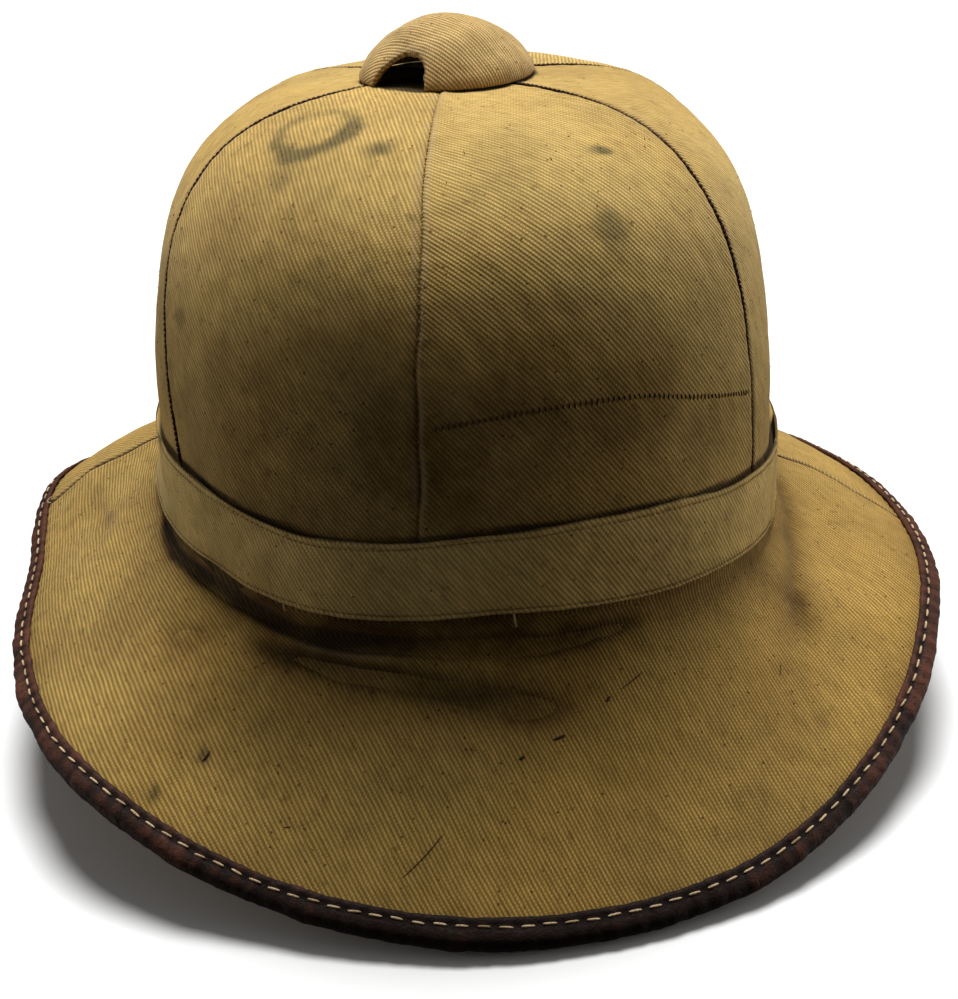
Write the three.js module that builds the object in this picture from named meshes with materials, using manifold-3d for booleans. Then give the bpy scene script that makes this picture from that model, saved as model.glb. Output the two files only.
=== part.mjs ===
// A pith helmet: a cork shell covered in six cloth gores, with two cloth brim covers, a folded
// cloth band, a leather binding round the brim and a cloth-covered ventilator cap on top.
// Millimetres, +Z up. The helmet rests on its brim at z = 0, and its long rear brim faces -Y.
import * as THREE from "three";
import { mergeVertices } from "three/addons/utils/BufferGeometryUtils.js";
import Module from "manifold-3d";

// Crown, measured on the outside of the cloth.
const CROWN_HALF_WIDTH = 90;
const CROWN_HALF_LENGTH = 108;
const CROWN_PLAN_POWER = 2.25;
const CROWN_BASE_HEIGHT = 60;
const CROWN_RISE = 121.7;
const CROWN_RISE_POWER = 4;
const CROWN_SHOULDER_POWER = 3.52;

// Walls and the small gaps between the pieces.
const CLOTH_WALL = 1.2;
const GAP = 0.35;
const CROWN_CORK = 6;
const BRIM_CORK = 3.3;
const SEAM_GAP = 0.35;

// Band round the foot of the crown.
const BAND_WALL = 1.6;
const BAND_LAP = 9;
const COVER_LAP = 8.3;
const BRIM_START_DROP = 2;
const FLARE_SHARE = 0.6;

// Leather binding folded over the brim's edge.
const BINDING_WALL = 1.25;
const BINDING_LAP = 2.2;
const EDGE_PAST_STITCHES = 3.4;
const CORK_PAST_STITCHES = 2.8;
const PRESSED_WALL = 0.8;

// Ventilator cap and the stud that holds it.
const CAP_RADIUS = 25;
const CAP_HEIGHT = 16.8;
const CAP_WALL = 2.2;
const CAP_CURVE = 1.6;
const CAP_SHOULDER = 0.55;
const CAP_STEPS = 9;
const CAP_SIDES = 36;
const NOTCH_COUNT = 2;
const NOTCH_AZIMUTH = -127;
const NOTCH_WIDTH = 17;
const NOTCH_HEIGHT = 9;
const STUD_RADIUS = 3;
const STUD_HOLE = 3.6;
const STUD_WASHER_RADIUS = 10;
const STUD_WASHER = 1.5;
const GORE_HOLE = 7;

// How strongly the brim's two end slopes hold its curve, as shares of its width.
const BRIM_START_PULL = 0.5;
const BRIM_END_PULL = 1;

// Mesh steps.
const GORE_STEPS = 9;
const GORE_COUNT = 6;
const COLUMNS = GORE_COUNT * GORE_STEPS;
const TURN = 360;

// Shift that puts the middle of the helmet's outline on the origin.
const CENTRE_SHIFT_X = 0.57;
const CENTRE_SHIFT_Y = 0.24;

// One row each 22.5 degrees, from the left side round by the rear (-90). reach and height are those
// of the brim's stitch line, foot and top are the heights of the band's two edges, and flare is how
// far the band's foot stands out. start and end are the brim's slopes in degrees below level, where
// it leaves the band and at its stitch line.
const RIM = [
  { azimuth: -180, reach: 136.5, height: 36.5, foot: 69.5, top: 91.5, flare: 3.5, start: 20, end: 36 },
  { azimuth: -157.5, reach: 142.5, height: 32, foot: 69.5, top: 92, flare: 1.5, start: 45, end: 32 },
  { azimuth: -135, reach: 152.5, height: 28, foot: 69, top: 92, flare: 0, start: 70, end: 30 },
  { azimuth: -112.5, reach: 154.5, height: 13, foot: 66, top: 87, flare: 0.5, start: 80, end: 40 },
  { azimuth: -90, reach: 157.5, height: 7, foot: 67, top: 89.5, flare: 0, start: 80, end: 42 },
  { azimuth: -67.5, reach: 155.5, height: 8, foot: 65, top: 89.5, flare: 0.5, start: 80, end: 42 },
  { azimuth: -45, reach: 148, height: 19, foot: 62, top: 84.5, flare: 0.5, start: 75, end: 36 },
  { azimuth: -22.5, reach: 140.5, height: 33, foot: 57, top: 79.5, flare: 0, start: 50, end: 28 },
  { azimuth: 0, reach: 137.5, height: 33.5, foot: 60, top: 81.5, flare: 3.5, start: 15, end: 34 },
  { azimuth: 22.5, reach: 139, height: 32, foot: 58, top: 81, flare: 2.5, start: 10, end: 36 },
  { azimuth: 45, reach: 146.5, height: 26, foot: 62, top: 85.5, flare: 2.5, start: 30, end: 38 },
  { azimuth: 67.5, reach: 154, height: 11.5, foot: 65.5, top: 89, flare: 2, start: 60, end: 42 },
  { azimuth: 90, reach: 157, height: 6.5, foot: 67, top: 90, flare: 2, start: 75, end: 42 },
  { azimuth: 112.5, reach: 156, height: 12, foot: 66, top: 88.5, flare: 2, start: 65, end: 42 },
  { azimuth: 135, reach: 154, height: 29, foot: 69, top: 91, flare: 2.5, start: 20, end: 42 },
  { azimuth: 157.5, reach: 148, height: 43, foot: 70.5, top: 92, flare: 2.5, start: 0, end: 42 },
];

// The crown's seams: where each one leaves the band, and where it reaches the cap.
const SEAMS = [
  { name: "rear", atBand: -99, atCap: -97 },
  { name: "right_rear", atBand: -42, atCap: -43 },
  { name: "right_front", atBand: 18, atCap: 18 },
  { name: "front", atBand: 78, atCap: 80 },
  { name: "left_front", atBand: 138, atCap: 138 },
  { name: "left_rear", atBand: 214, atCap: 201 },
];
const GORE_NAMES = ["rear_right", "side_right", "front_right", "front_left", "side_left", "rear_left"];

// The two side seams of the brim: the column each one starts on, and its azimuth at the brim's edge.
const BRIM_SEAMS = {
  right: { column: 2 * GORE_STEPS - 2, atEdge: -2 },
  left: { column: 4 * GORE_STEPS + 3, atEdge: 166 },
};

// Dents and soft folds of the brim. share runs from the band's foot (0) to the stitches (1), spread
// is in degrees, and a negative depth is a hollow.
const FOLDS = [
  { azimuth: -122, share: 0.1, spread: 16, shareSpread: 0.09, depth: -1.8 },
  { azimuth: -104, share: 0.25, spread: 12, shareSpread: 0.08, depth: 1.3 },
  { azimuth: -92, share: 0.42, spread: 10, shareSpread: 0.08, depth: -0.8 },
  { azimuth: -45, share: 0.3, spread: 7, shareSpread: 0.25, depth: -1.8 },
  { azimuth: -146, share: 0.6, spread: 9, shareSpread: 0.3, depth: -1.2 },
  { azimuth: -131, share: 0.45, spread: 9, shareSpread: 0.2, depth: 1 },
];

// Rows of the meshes. A crown row is an angle up its curve, a brim row a share of its width.
const GORE_ROWS = [84, 76, 67, 57, 46, 35, 24, 13];
const CORK_CROWN_ROWS = [76, 57, 35, 13];
const BRIM_ROWS = [0, 0.1, 0.2, 0.34, 0.52, 0.74, 0.92, 1];
const CORK_UNDERSIDE_ROWS = [0, 0.2, 0.52, 0.84, 1];

const radians = THREE.MathUtils.degToRad;
const wrap = (value, size) => ((value % size) + size) % size;

// Value of one column of RIM at an azimuth in degrees, on a smooth closed curve through its rows.
function rim(column, azimuth) {
  const place = wrap(azimuth + TURN / 2, TURN) * (RIM.length / TURN);
  const row = Math.floor(place);
  const [a, b, c, d] = [-1, 0, 1, 2].map((k) => RIM[wrap(row + k, RIM.length)][column]);
  const t = place - row;
  return b + 0.5 * t * (c - a + t * (2 * a - 5 * b + 4 * c - d + t * (3 * (b - c) + d - a)));
}

function crownPlan(azimuth) {
  const across = Math.abs(Math.cos(radians(azimuth))) / CROWN_HALF_WIDTH;
  const along = Math.abs(Math.sin(radians(azimuth))) / CROWN_HALF_LENGTH;
  return (across ** CROWN_PLAN_POWER + along ** CROWN_PLAN_POWER) ** (-1 / CROWN_PLAN_POWER);
}

function crownRadius(azimuth, z) {
  const rise = THREE.MathUtils.clamp((z - CROWN_BASE_HEIGHT) / CROWN_RISE, 0, 1);
  return crownPlan(azimuth) * (1 - rise ** CROWN_RISE_POWER) ** (1 / CROWN_SHOULDER_POWER);
}

function crownRowHeight(angle) {
  return CROWN_BASE_HEIGHT + CROWN_RISE * Math.sin(radians(angle)) ** (2 / CROWN_RISE_POWER);
}

// Height at which the crown's curve has this radius, on the half width.
function heightAtRadius(radius) {
  const share = (radius / CROWN_HALF_WIDTH) ** CROWN_SHOULDER_POWER;
  return CROWN_BASE_HEIGHT + CROWN_RISE * (1 - share) ** (1 / CROWN_RISE_POWER);
}

const seamNumber = (k) => SEAMS[wrap(k, GORE_COUNT)];

// Azimuth of column number i at the band, counted from the rear seam. i may have a fraction.
function columnAtBand(i) {
  const gore = Math.floor(i / GORE_STEPS);
  const from = seamNumber(gore);
  const span = wrap(seamNumber(gore + 1).atBand - from.atBand, TURN);
  return from.atBand + (span * (i - gore * GORE_STEPS)) / GORE_STEPS;
}

function columnOnCrown(i, z) {
  const gore = Math.floor(i / GORE_STEPS);
  const share = i / GORE_STEPS - gore;
  const leanOf = (k) => seamNumber(k).atCap - seamNumber(k).atBand;
  const lean = THREE.MathUtils.lerp(leanOf(gore), leanOf(gore + 1), share);
  const bandTop = rim("top", columnAtBand(i));
  const climb = THREE.MathUtils.clamp((z - bandTop) / (CROWN_BASE_HEIGHT + CROWN_RISE - bandTop), 0, 1);
  return columnAtBand(i) + lean * climb;
}

// Azimuth of column i on the brim, where the side seams slant towards the rear as they go out.
function columnOnBrim(i, share) {
  const { right, left } = BRIM_SEAMS;
  const slantRight = right.atEdge - columnAtBand(right.column);
  const slantLeft = left.atEdge - columnAtBand(left.column);
  const ahead = i >= right.column && i <= left.column;
  const rearColumns = COLUMNS - (left.column - right.column);
  const pastLeft = wrap(i - left.column, COLUMNS);
  const slant = ahead
    ? slantRight + ((slantLeft - slantRight) * (i - right.column)) / (left.column - right.column)
    : slantLeft + ((slantRight - slantLeft) * pastLeft) / rearColumns;
  return columnAtBand(i) + slant * THREE.MathUtils.clamp(share, 0, 1);
}

function foldDepth(azimuth, share) {
  return FOLDS.reduce((sum, fold) => {
    const turn = wrap(azimuth - fold.azimuth + TURN / 2, TURN) - TURN / 2;
    const fall = (turn / fold.spread) ** 2 + ((share - fold.share) / fold.shareSpread) ** 2;
    return sum + fold.depth * Math.exp(-fall);
  }, 0);
}

const inPlan = (azimuth, radius, z) =>
  new THREE.Vector3(radius * Math.cos(radians(azimuth)), radius * Math.sin(radians(azimuth)), z);

// Radius of the covered wall behind the band, which flares towards the brim.
function wallRadius(azimuth, z) {
  const drop = rim("foot", azimuth) + BAND_LAP - z;
  const flare = FLARE_SHARE * rim("flare", azimuth);
  return crownRadius(azimuth, z) + flare * THREE.MathUtils.clamp(drop / (BAND_LAP + BRIM_START_DROP), 0, 1);
}

// A point of the brim's upper side and its outward tangent, at a share of the way to the stitches.
function brimSection(azimuth, share) {
  const startZ = rim("foot", azimuth) - BRIM_START_DROP;
  const start = new THREE.Vector2(wallRadius(azimuth, startZ), startZ);
  const end = new THREE.Vector2(rim("reach", azimuth), rim("height", azimuth));
  const run = start.distanceTo(end);
  const towards = (slope) => new THREE.Vector2(Math.cos(radians(-slope)), Math.sin(radians(-slope)));
  const startPull = towards(rim("start", azimuth)).multiplyScalar(BRIM_START_PULL * run);
  const endPull = towards(rim("end", azimuth)).multiplyScalar(BRIM_END_PULL * run);
  const u = Math.min(share, 1);
  const point = start.clone().multiplyScalar(2 * u ** 3 - 3 * u ** 2 + 1);
  point.addScaledVector(startPull, u ** 3 - 2 * u ** 2 + u);
  point.addScaledVector(end, 3 * u ** 2 - 2 * u ** 3);
  point.addScaledVector(endPull, u ** 3 - u ** 2);
  point.addScaledVector(endPull.normalize(), (share - u) * run);
  return point;
}

// Outer face of the cloth on the crown, and on the brim, by column and height or share.
const crownSkin = (i, z) => {
  const azimuth = columnOnCrown(i, z);
  return inPlan(azimuth, wallRadius(azimuth, z), z);
};

const brimSkin = (i, share) => {
  const azimuth = columnOnBrim(i, share);
  const section = brimSection(azimuth, share);
  return inPlan(azimuth, section.x, section.y + foldDepth(azimuth, share));
};

// The point of a skin at (i, v), moved out of it by offset. step is a small move towards the brim's edge.
function offsetPoint(skin, i, v, offset, step) {
  const nudge = 0.05;
  const across = skin(i + nudge, v).sub(skin(i - nudge, v));
  const outward = skin(i, v + step).sub(skin(i, v - step));
  return skin(i, v).addScaledVector(outward.cross(across).normalize(), offset);
}

const crownTop = CROWN_BASE_HEIGHT + CROWN_RISE;

function crownPoint(i, z, offset) {
  const step = -Math.min(0.2, (crownTop - z) / 2);
  return offsetPoint(crownSkin, i, z, offset, step);
}

const brimPoint = (i, share, offset) => offsetPoint(brimSkin, i, share, offset, 0.01);

// How far column i has to shift to move sideways by a distance, at a point of the skin.
function columnShift(skin, i, v, distance) {
  const nudge = 0.5;
  return distance / (skin(i + nudge, v).distanceTo(skin(i - nudge, v)) / (2 * nudge));
}

// The share of the brim that lies a distance past the stitch line.
function edgeShare(i, past) {
  const azimuth = columnOnBrim(i, 1);
  return 1 + past / brimSection(azimuth, 0).distanceTo(brimSection(azimuth, 1));
}

const range = (count) => Array.from({ length: count }, (_, k) => k);

// A closed geometry from vertices and faces, turned to face out.
function solidGeometry(points, faces) {
  const volume = faces.reduce((sum, [a, b, c]) => {
    const cross = new THREE.Vector3().crossVectors(points[b], points[c]);
    return sum + points[a].dot(cross);
  }, 0);
  const outward = volume > 0 ? faces : faces.map(([a, b, c]) => [a, c, b]);
  const geometry = new THREE.BufferGeometry().setFromPoints(points);
  geometry.setIndex(outward.flat());
  geometry.computeVertexNormals();
  return geometry;
}

// A wall between two grids of points, [column][row] alike. A closed wall runs all the way round.
function wallGeometry(outer, inner, closed) {
  const columns = outer.length;
  const outerRows = outer[0].length;
  const innerRows = inner[0].length;
  const points = [...outer.flat(), ...inner.flat()];
  const out = (i, j) => (i % columns) * outerRows + j;
  const into = (i, j) => columns * outerRows + (i % columns) * innerRows + j;
  const faces = [];
  const quad = (a, b, c, d) => faces.push([a, b, c], [a, c, d]);
  const spans = range(closed ? columns : columns - 1);
  for (const i of spans) {
    range(outerRows - 1).forEach((j) => quad(out(i, j), out(i, j + 1), out(i + 1, j + 1), out(i + 1, j)));
    range(innerRows - 1).forEach((j) => quad(into(i, j), into(i + 1, j), into(i + 1, j + 1), into(i, j + 1)));
    quad(out(i + 1, 0), into(i + 1, 0), into(i, 0), out(i, 0));
    const [low, lowInside] = [outerRows - 1, innerRows - 1];
    quad(out(i, low), into(i, lowInside), into(i + 1, lowInside), out(i + 1, low));
  }
  if (!closed) {
    range(outerRows - 1).forEach((j) => quad(out(0, j), into(0, j), into(0, j + 1), out(0, j + 1)));
    const last = columns - 1;
    range(outerRows - 1).forEach((j) =>
      quad(out(last, j + 1), into(last, j + 1), into(last, j), out(last, j)),
    );
  }
  return solidGeometry(points, faces);
}

// A ring of closed sections, each a list of points.
function ringGeometry(sections) {
  const size = sections[0].length;
  const at = (i, j) => (i % sections.length) * size + (j % size);
  const faces = [];
  for (const i of range(sections.length)) {
    for (const j of range(size)) {
      faces.push([at(i, j), at(i, j + 1), at(i + 1, j + 1)]);
      faces.push([at(i, j), at(i + 1, j + 1), at(i + 1, j)]);
    }
  }
  return solidGeometry(sections.flat(), faces);
}

const bandTopAt = (i) => rim("top", columnAtBand(i));
const bandFootAt = (i) => rim("foot", columnAtBand(i));

// Cork shell: the crown and the brim in one hollow body, open below.
const corkTop = -(CLOTH_WALL + GAP);

function corkColumn(i, crownOffset, brimOffset, holeRadius, brimRows) {
  const crownRows = CORK_CROWN_ROWS.map((angle) => crownRowHeight(angle));
  const crown = [heightAtRadius(holeRadius), ...crownRows, bandFootAt(i) + BAND_LAP];
  const brim = [...brimRows, edgeShare(i, CORK_PAST_STITCHES)];
  const points = [
    ...crown.map((z) => crownPoint(i, z, crownOffset)),
    ...brim.map((share) => brimPoint(i, share, brimOffset)),
  ];
  points.forEach((point) => point.setZ(Math.max(point.z, PRESSED_WALL + 2 * GAP)));
  return points;
}

function corkShell() {
  const inside = corkTop - CROWN_CORK;
  const underside = corkTop - BRIM_CORK;
  const outer = range(COLUMNS).map((i) => corkColumn(i, corkTop, corkTop, STUD_HOLE, BRIM_ROWS));
  const inner = range(COLUMNS).map((i) => corkColumn(i, inside, underside, STUD_HOLE, CORK_UNDERSIDE_ROWS));
  return wallGeometry(outer, inner, true);
}

// One cloth gore of the crown, from the cap down to the band's lap.
function goreColumn(i, side, offset) {
  const heights = [heightAtRadius(GORE_HOLE), ...GORE_ROWS.map(crownRowHeight), bandFootAt(i) + BAND_LAP];
  return heights.map((z) => crownPoint(i + side * columnShift(crownSkin, i, z, SEAM_GAP), z, offset));
}

// The columns from one seam to the next, each with the side on which a seam cuts it back.
function seamToSeam(first, steps) {
  return range(steps + 1).map((k) => ({ i: first + k, side: k === 0 ? 1 : k === steps ? -1 : 0 }));
}

function gore(number) {
  const columns = seamToSeam(number * GORE_STEPS, GORE_STEPS);
  const outer = columns.map(({ i, side }) => goreColumn(i, side, 0));
  const inner = columns.map(({ i, side }) => goreColumn(i, side, -CLOTH_WALL));
  return wallGeometry(outer, inner, false);
}

// A cloth cover of the brim, between its two side seams.
function coverColumn(i, side, offset) {
  const lap = bandFootAt(i) + COVER_LAP;
  const top = crownPoint(i + side * columnShift(crownSkin, i, lap, SEAM_GAP), lap, offset);
  const shares = [...BRIM_ROWS, edgeShare(i, EDGE_PAST_STITCHES)];
  const brim = shares.map((share) =>
    brimPoint(i + side * columnShift(brimSkin, i, share, SEAM_GAP), share, offset),
  );
  return [top, ...brim];
}

function brimCover(first, steps) {
  const columns = seamToSeam(first, steps);
  const outer = columns.map(({ i, side }) => coverColumn(i, side, 0));
  const inner = columns.map(({ i, side }) => coverColumn(i, side, -CLOTH_WALL));
  return wallGeometry(outer, inner, false);
}

// Folded cloth band, which stands on the lap of the gores and flares over the start of the brim.
function bandColumn(i, standOff, flareShare) {
  const azimuth = columnAtBand(i);
  const foot = bandFootAt(i);
  const flared = wallRadius(azimuth, foot) + standOff + flareShare * rim("flare", azimuth);
  const lap = foot + BAND_LAP;
  return [
    inPlan(azimuth, wallRadius(azimuth, bandTopAt(i)) + standOff, bandTopAt(i)),
    inPlan(azimuth, wallRadius(azimuth, lap) + standOff, lap),
    inPlan(azimuth, flared, foot),
  ];
}

function band() {
  const outer = range(COLUMNS).map((i) => bandColumn(i, GAP + BAND_WALL, 0.5));
  const inner = range(COLUMNS).map((i) => bandColumn(i, GAP, 0.1));
  return wallGeometry(outer, inner, true);
}

// Section of the leather binding: out past the stitch line and up from the cloth, outside then inside.
// least is the lowest that a point may lie, where it would reach below the rest plane.
function bindingSection() {
  const top = GAP + BINDING_WALL;
  const side = EDGE_PAST_STITCHES + GAP + BINDING_WALL;
  const under = corkTop - BRIM_CORK - 2 * GAP;
  const bottom = under - BINDING_WALL;
  const lip = -BINDING_LAP;
  return [
    { out: lip, up: GAP },
    { out: lip, up: top },
    { out: 0, up: top + 0.2 },
    { out: side - 1.6, up: top },
    { out: side - 0.4, up: top - 1.3 },
    { out: side, up: under / 2 },
    { out: side - 0.4, up: bottom + 1.4 },
    { out: side - 1.7, up: bottom },
    { out: 0, up: bottom - 0.1 },
    { out: lip, up: bottom + 0.1 },
    { out: lip, up: under, least: PRESSED_WALL },
    { out: side - BINDING_WALL, up: under, least: PRESSED_WALL },
    { out: side - BINDING_WALL, up: GAP },
  ];
}

// The binding follows the brim's edge and is pressed flat where the helmet rests on it.
function binding() {
  const section = bindingSection();
  const sections = range(COLUMNS).map((i) => {
    const stitch = brimSkin(i, 1);
    const edge = edgeShare(i, EDGE_PAST_STITCHES);
    const along = brimSkin(i, edge).sub(stitch).normalize();
    const normal = brimPoint(i, edge, 1).sub(brimSkin(i, edge));
    return section.map(({ out, up, least = 0 }) => {
      const point = stitch.clone().addScaledVector(along, out).addScaledVector(normal, up);
      point.z = Math.max(point.z, least);
      return point;
    });
  });
  return ringGeometry(sections);
}

const wasm = await Module();
wasm.setup();

function manifoldOf(geometry) {
  const bare = geometry.clone();
  bare.deleteAttribute("normal");
  bare.deleteAttribute("uv");
  const merged = mergeVertices(bare, 1e-4);
  const vertProperties = new Float32Array(merged.attributes.position.array);
  const triVerts = new Uint32Array(merged.index.array);
  return new wasm.Manifold(new wasm.Mesh({ numProp: 3, vertProperties, triVerts }));
}

function geometryOf(manifold) {
  const mesh = manifold.getMesh();
  const geometry = new THREE.BufferGeometry();
  geometry.setAttribute("position", new THREE.BufferAttribute(mesh.vertProperties, mesh.numProp));
  geometry.setIndex(new THREE.BufferAttribute(mesh.triVerts, 1));
  geometry.computeVertexNormals();
  return geometry;
}

// A body of revolution about Z, from radius and height pairs.
function turned(profile, sides) {
  const points = profile.map(([radius, height]) => new THREE.Vector2(radius, height));
  return new THREE.LatheGeometry(points, sides).rotateX(Math.PI / 2);
}

// Ventilator cap: a cloth-covered dome with arched notches round its rim.
const capSeat = crownTop + GAP / 2;

function domeProfile(radius, height) {
  return range(CAP_STEPS + 1).map((k) => {
    const rise = Math.sin((k / CAP_STEPS) * (Math.PI / 2));
    return [radius * (1 - rise ** CAP_CURVE) ** CAP_SHOULDER, rise * height];
  });
}

function notchCutter(azimuth) {
  const halfWidth = NOTCH_WIDTH / 2;
  const arch = new THREE.Shape();
  arch.moveTo(-halfWidth, -1);
  arch.lineTo(halfWidth, -1);
  arch.lineTo(halfWidth, 0);
  arch.absellipse(0, 0, halfWidth, NOTCH_HEIGHT, 0, Math.PI, false);
  const settings = { depth: CAP_RADIUS, bevelEnabled: false, curveSegments: 8 };
  const geometry = new THREE.ExtrudeGeometry(arch, settings);
  const outward = inPlan(azimuth, 1, 0);
  const sideways = inPlan(azimuth + 90, 1, 0);
  const basis = new THREE.Matrix4().makeBasis(sideways, new THREE.Vector3(0, 0, 1), outward);
  return geometry.applyMatrix4(basis.setPosition(outward.multiplyScalar(CAP_RADIUS / 2)));
}

function ventilatorCap() {
  const outside = domeProfile(CAP_RADIUS, CAP_HEIGHT);
  const inside = domeProfile(CAP_RADIUS - CAP_WALL, CAP_HEIGHT - CAP_WALL);
  let dome = manifoldOf(turned([...inside.reverse(), ...outside], CAP_SIDES));
  for (const k of range(NOTCH_COUNT)) {
    dome = dome.subtract(manifoldOf(notchCutter(NOTCH_AZIMUTH + (k * TURN) / NOTCH_COUNT)));
  }
  return geometryOf(dome).translate(0, 0, capSeat);
}

// Plain stud that holds the cap: a washer under the cork and a shank up to the dome.
function capStud() {
  const washerTop = crownTop + corkTop - CROWN_CORK - GAP;
  const washerBottom = washerTop - STUD_WASHER;
  const shankTop = capSeat + CAP_HEIGHT - CAP_WALL - 2 * GAP;
  return turned(
    [
      [0, washerBottom],
      [STUD_WASHER_RADIUS, washerBottom],
      [STUD_WASHER_RADIUS, washerTop],
      [STUD_RADIUS, washerTop],
      [STUD_RADIUS, shankTop],
      [0, shankTop],
    ],
    24,
  );
}

const material = (color, roughness, metalness = 0) =>
  new THREE.MeshStandardMaterial({ color, roughness, metalness });

const cloth = material(0xa08a55, 0.9);
const bandCloth = material(0x8d7a48, 0.9);
const leather = material(0x43261d, 0.5);
const cork = material(0xb08c5e, 0.85);
const steel = material(0x6f6a62, 0.45, 0.9);

const helmet = new THREE.Group();

function add(name, geometry, finish) {
  const mesh = new THREE.Mesh(geometry, finish.clone());
  mesh.name = name;
  mesh.position.set(CENTRE_SHIFT_X, CENTRE_SHIFT_Y, 0);
  helmet.add(mesh);
}

const { right, left } = BRIM_SEAMS;
add("cork_shell", corkShell(), cork);
GORE_NAMES.forEach((name, number) => add(`crown_gore_${name}`, gore(number), cloth));
add("brim_cover_rear", brimCover(left.column - COLUMNS, COLUMNS - (left.column - right.column)), cloth);
add("brim_cover_front", brimCover(right.column, left.column - right.column), cloth);
add("cloth_band", band(), bandCloth);
add("edge_binding", binding(), leather);
add("ventilator_cap", ventilatorCap(), cloth);
add("cap_stud", capStud(), steel);

export default helmet;
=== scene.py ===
"""A pith helmet, photographed from above its long rear brim: six cloth gores, two brim covers, a
folded band, a stitched leather binding and a ventilator cap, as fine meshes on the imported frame."""

import math

import bpy
import numpy as np
from mathutils import Matrix, Vector


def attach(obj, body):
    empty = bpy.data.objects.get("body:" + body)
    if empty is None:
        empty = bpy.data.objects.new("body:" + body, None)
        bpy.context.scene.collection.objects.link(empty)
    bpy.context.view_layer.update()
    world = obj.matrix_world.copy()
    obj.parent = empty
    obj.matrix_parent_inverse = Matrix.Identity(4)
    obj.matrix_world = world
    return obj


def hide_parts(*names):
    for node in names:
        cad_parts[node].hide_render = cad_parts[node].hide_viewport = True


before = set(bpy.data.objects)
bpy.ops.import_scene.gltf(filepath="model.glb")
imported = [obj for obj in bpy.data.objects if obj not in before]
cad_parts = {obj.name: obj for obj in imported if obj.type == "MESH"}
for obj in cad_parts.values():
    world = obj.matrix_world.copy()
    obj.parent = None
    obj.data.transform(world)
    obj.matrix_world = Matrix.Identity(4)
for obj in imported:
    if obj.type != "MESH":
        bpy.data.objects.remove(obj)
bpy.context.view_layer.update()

# Sizes are in millimetres and angles in degrees, and MM turns them into Blender's metres.
MM = 0.001
TURN = 360

# The camera, in the helmet's own frame.
IMAGE_HEIGHT = 999
CAMERA_PLACE = (-17.4, -494.5, 273.6)
CAMERA_PAN = 2.4
CAMERA_TILT = -24.35
CAMERA_ROLL = -2.96
CAMERA_FOCAL_PIXELS = 1728.9
SENSOR = 36

# Crown, measured on the outside of the cloth.
CROWN_HALF_WIDTH = 90
CROWN_HALF_LENGTH = 108
CROWN_PLAN_POWER = 2.25
CROWN_BASE_HEIGHT = 60
CROWN_RISE = 121.7
CROWN_RISE_POWER = 4
CROWN_SHOULDER_POWER = 3.52
CROWN_TOP = CROWN_BASE_HEIGHT + CROWN_RISE
GORE_HOLE = 7

# Walls, laps and gaps.
CLOTH_WALL = 1.2
GAP = 0.35
CROWN_CORK = 6
BRIM_CORK = 3.3
BAND_WALL = 1.6
BAND_LAP = 9
COVER_LAP = 8.3
BRIM_START_DROP = 2
FLARE_SHARE = 0.6
BRIM_START_PULL = 0.5
BRIM_END_PULL = 1
EDGE_PAST_STITCHES = 3.4
CORK_PAST_STITCHES = 2.8
BINDING_WALL = 1.25
BINDING_LAP = 2.2
PRESSED_WALL = 0.8

# Ventilator cap and its stud.
CAP_RADIUS = 25
CAP_HEIGHT = 16.8
CAP_WALL = 2.2
CAP_CURVE = 1.6
CAP_SHOULDER = 0.55
CAP_SEAT = CROWN_TOP + GAP / 2
NOTCH_AZIMUTHS = (-127, 53)
NOTCH_WIDTH = 17
NOTCH_HEIGHT = 9
STUD_RADIUS = 3
STUD_HOLE = 3.6
STUD_WASHER_RADIUS = 10
STUD_WASHER = 1.5

# Middle of the helmet's outline, which lies on the frame's origin.
CENTRE_SHIFT = np.array([0.57, 0.24, 0])

# Every 22.5 degrees: the stitch line's reach and height, the heights of the band's foot and top, the
# flare of the wall behind the band, and the brim's slopes in degrees at its start and its end.
RIM_COLUMNS = ("azimuth", "reach", "height", "foot", "top", "flare", "start", "end")
RIM = np.array([
    (-180, 136.5, 36.5, 69.5, 91.5, 3.5, 20, 36),
    (-157.5, 142.5, 32, 69.5, 92, 1.5, 45, 32),
    (-135, 152.5, 28, 69, 92, 0, 70, 30),
    (-112.5, 154.5, 13, 66, 87, 0.5, 80, 40),
    (-90, 157.5, 7, 67, 89.5, 0, 80, 42),
    (-67.5, 155.5, 8, 65, 89.5, 0.5, 80, 42),
    (-45, 148, 19, 62, 84.5, 0.5, 75, 36),
    (-22.5, 140.5, 33, 57, 79.5, 0, 50, 28),
    (0, 137.5, 33.5, 60, 81.5, 3.5, 15, 34),
    (22.5, 139, 32, 58, 81, 2.5, 10, 36),
    (45, 146.5, 26, 62, 85.5, 2.5, 30, 38),
    (67.5, 154, 11.5, 65.5, 89, 2, 60, 42),
    (90, 157, 6.5, 67, 90, 2, 75, 42),
    (112.5, 156, 12, 66, 88.5, 2, 65, 42),
    (135, 154, 29, 69, 91, 2.5, 20, 42),
    (157.5, 148, 43, 70.5, 92, 2.5, 0, 42),
])

# Azimuths of the crown's seams at the band and at the cap, by the gore that follows each one.
SEAMS = {
    "rear_right": (-99, -97),
    "side_right": (-42, -43),
    "front_right": (18, 18),
    "front_left": (78, 80),
    "side_left": (138, 138),
    "rear_left": (214, 201),
}
GORE_NAMES = list(SEAMS)

# The brim's side seams, at the band's foot and at the brim's edge.
BRIM_SEAM_RIGHT = (4.67, -2)
BRIM_SEAM_LEFT = (163.33, 166)

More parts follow.
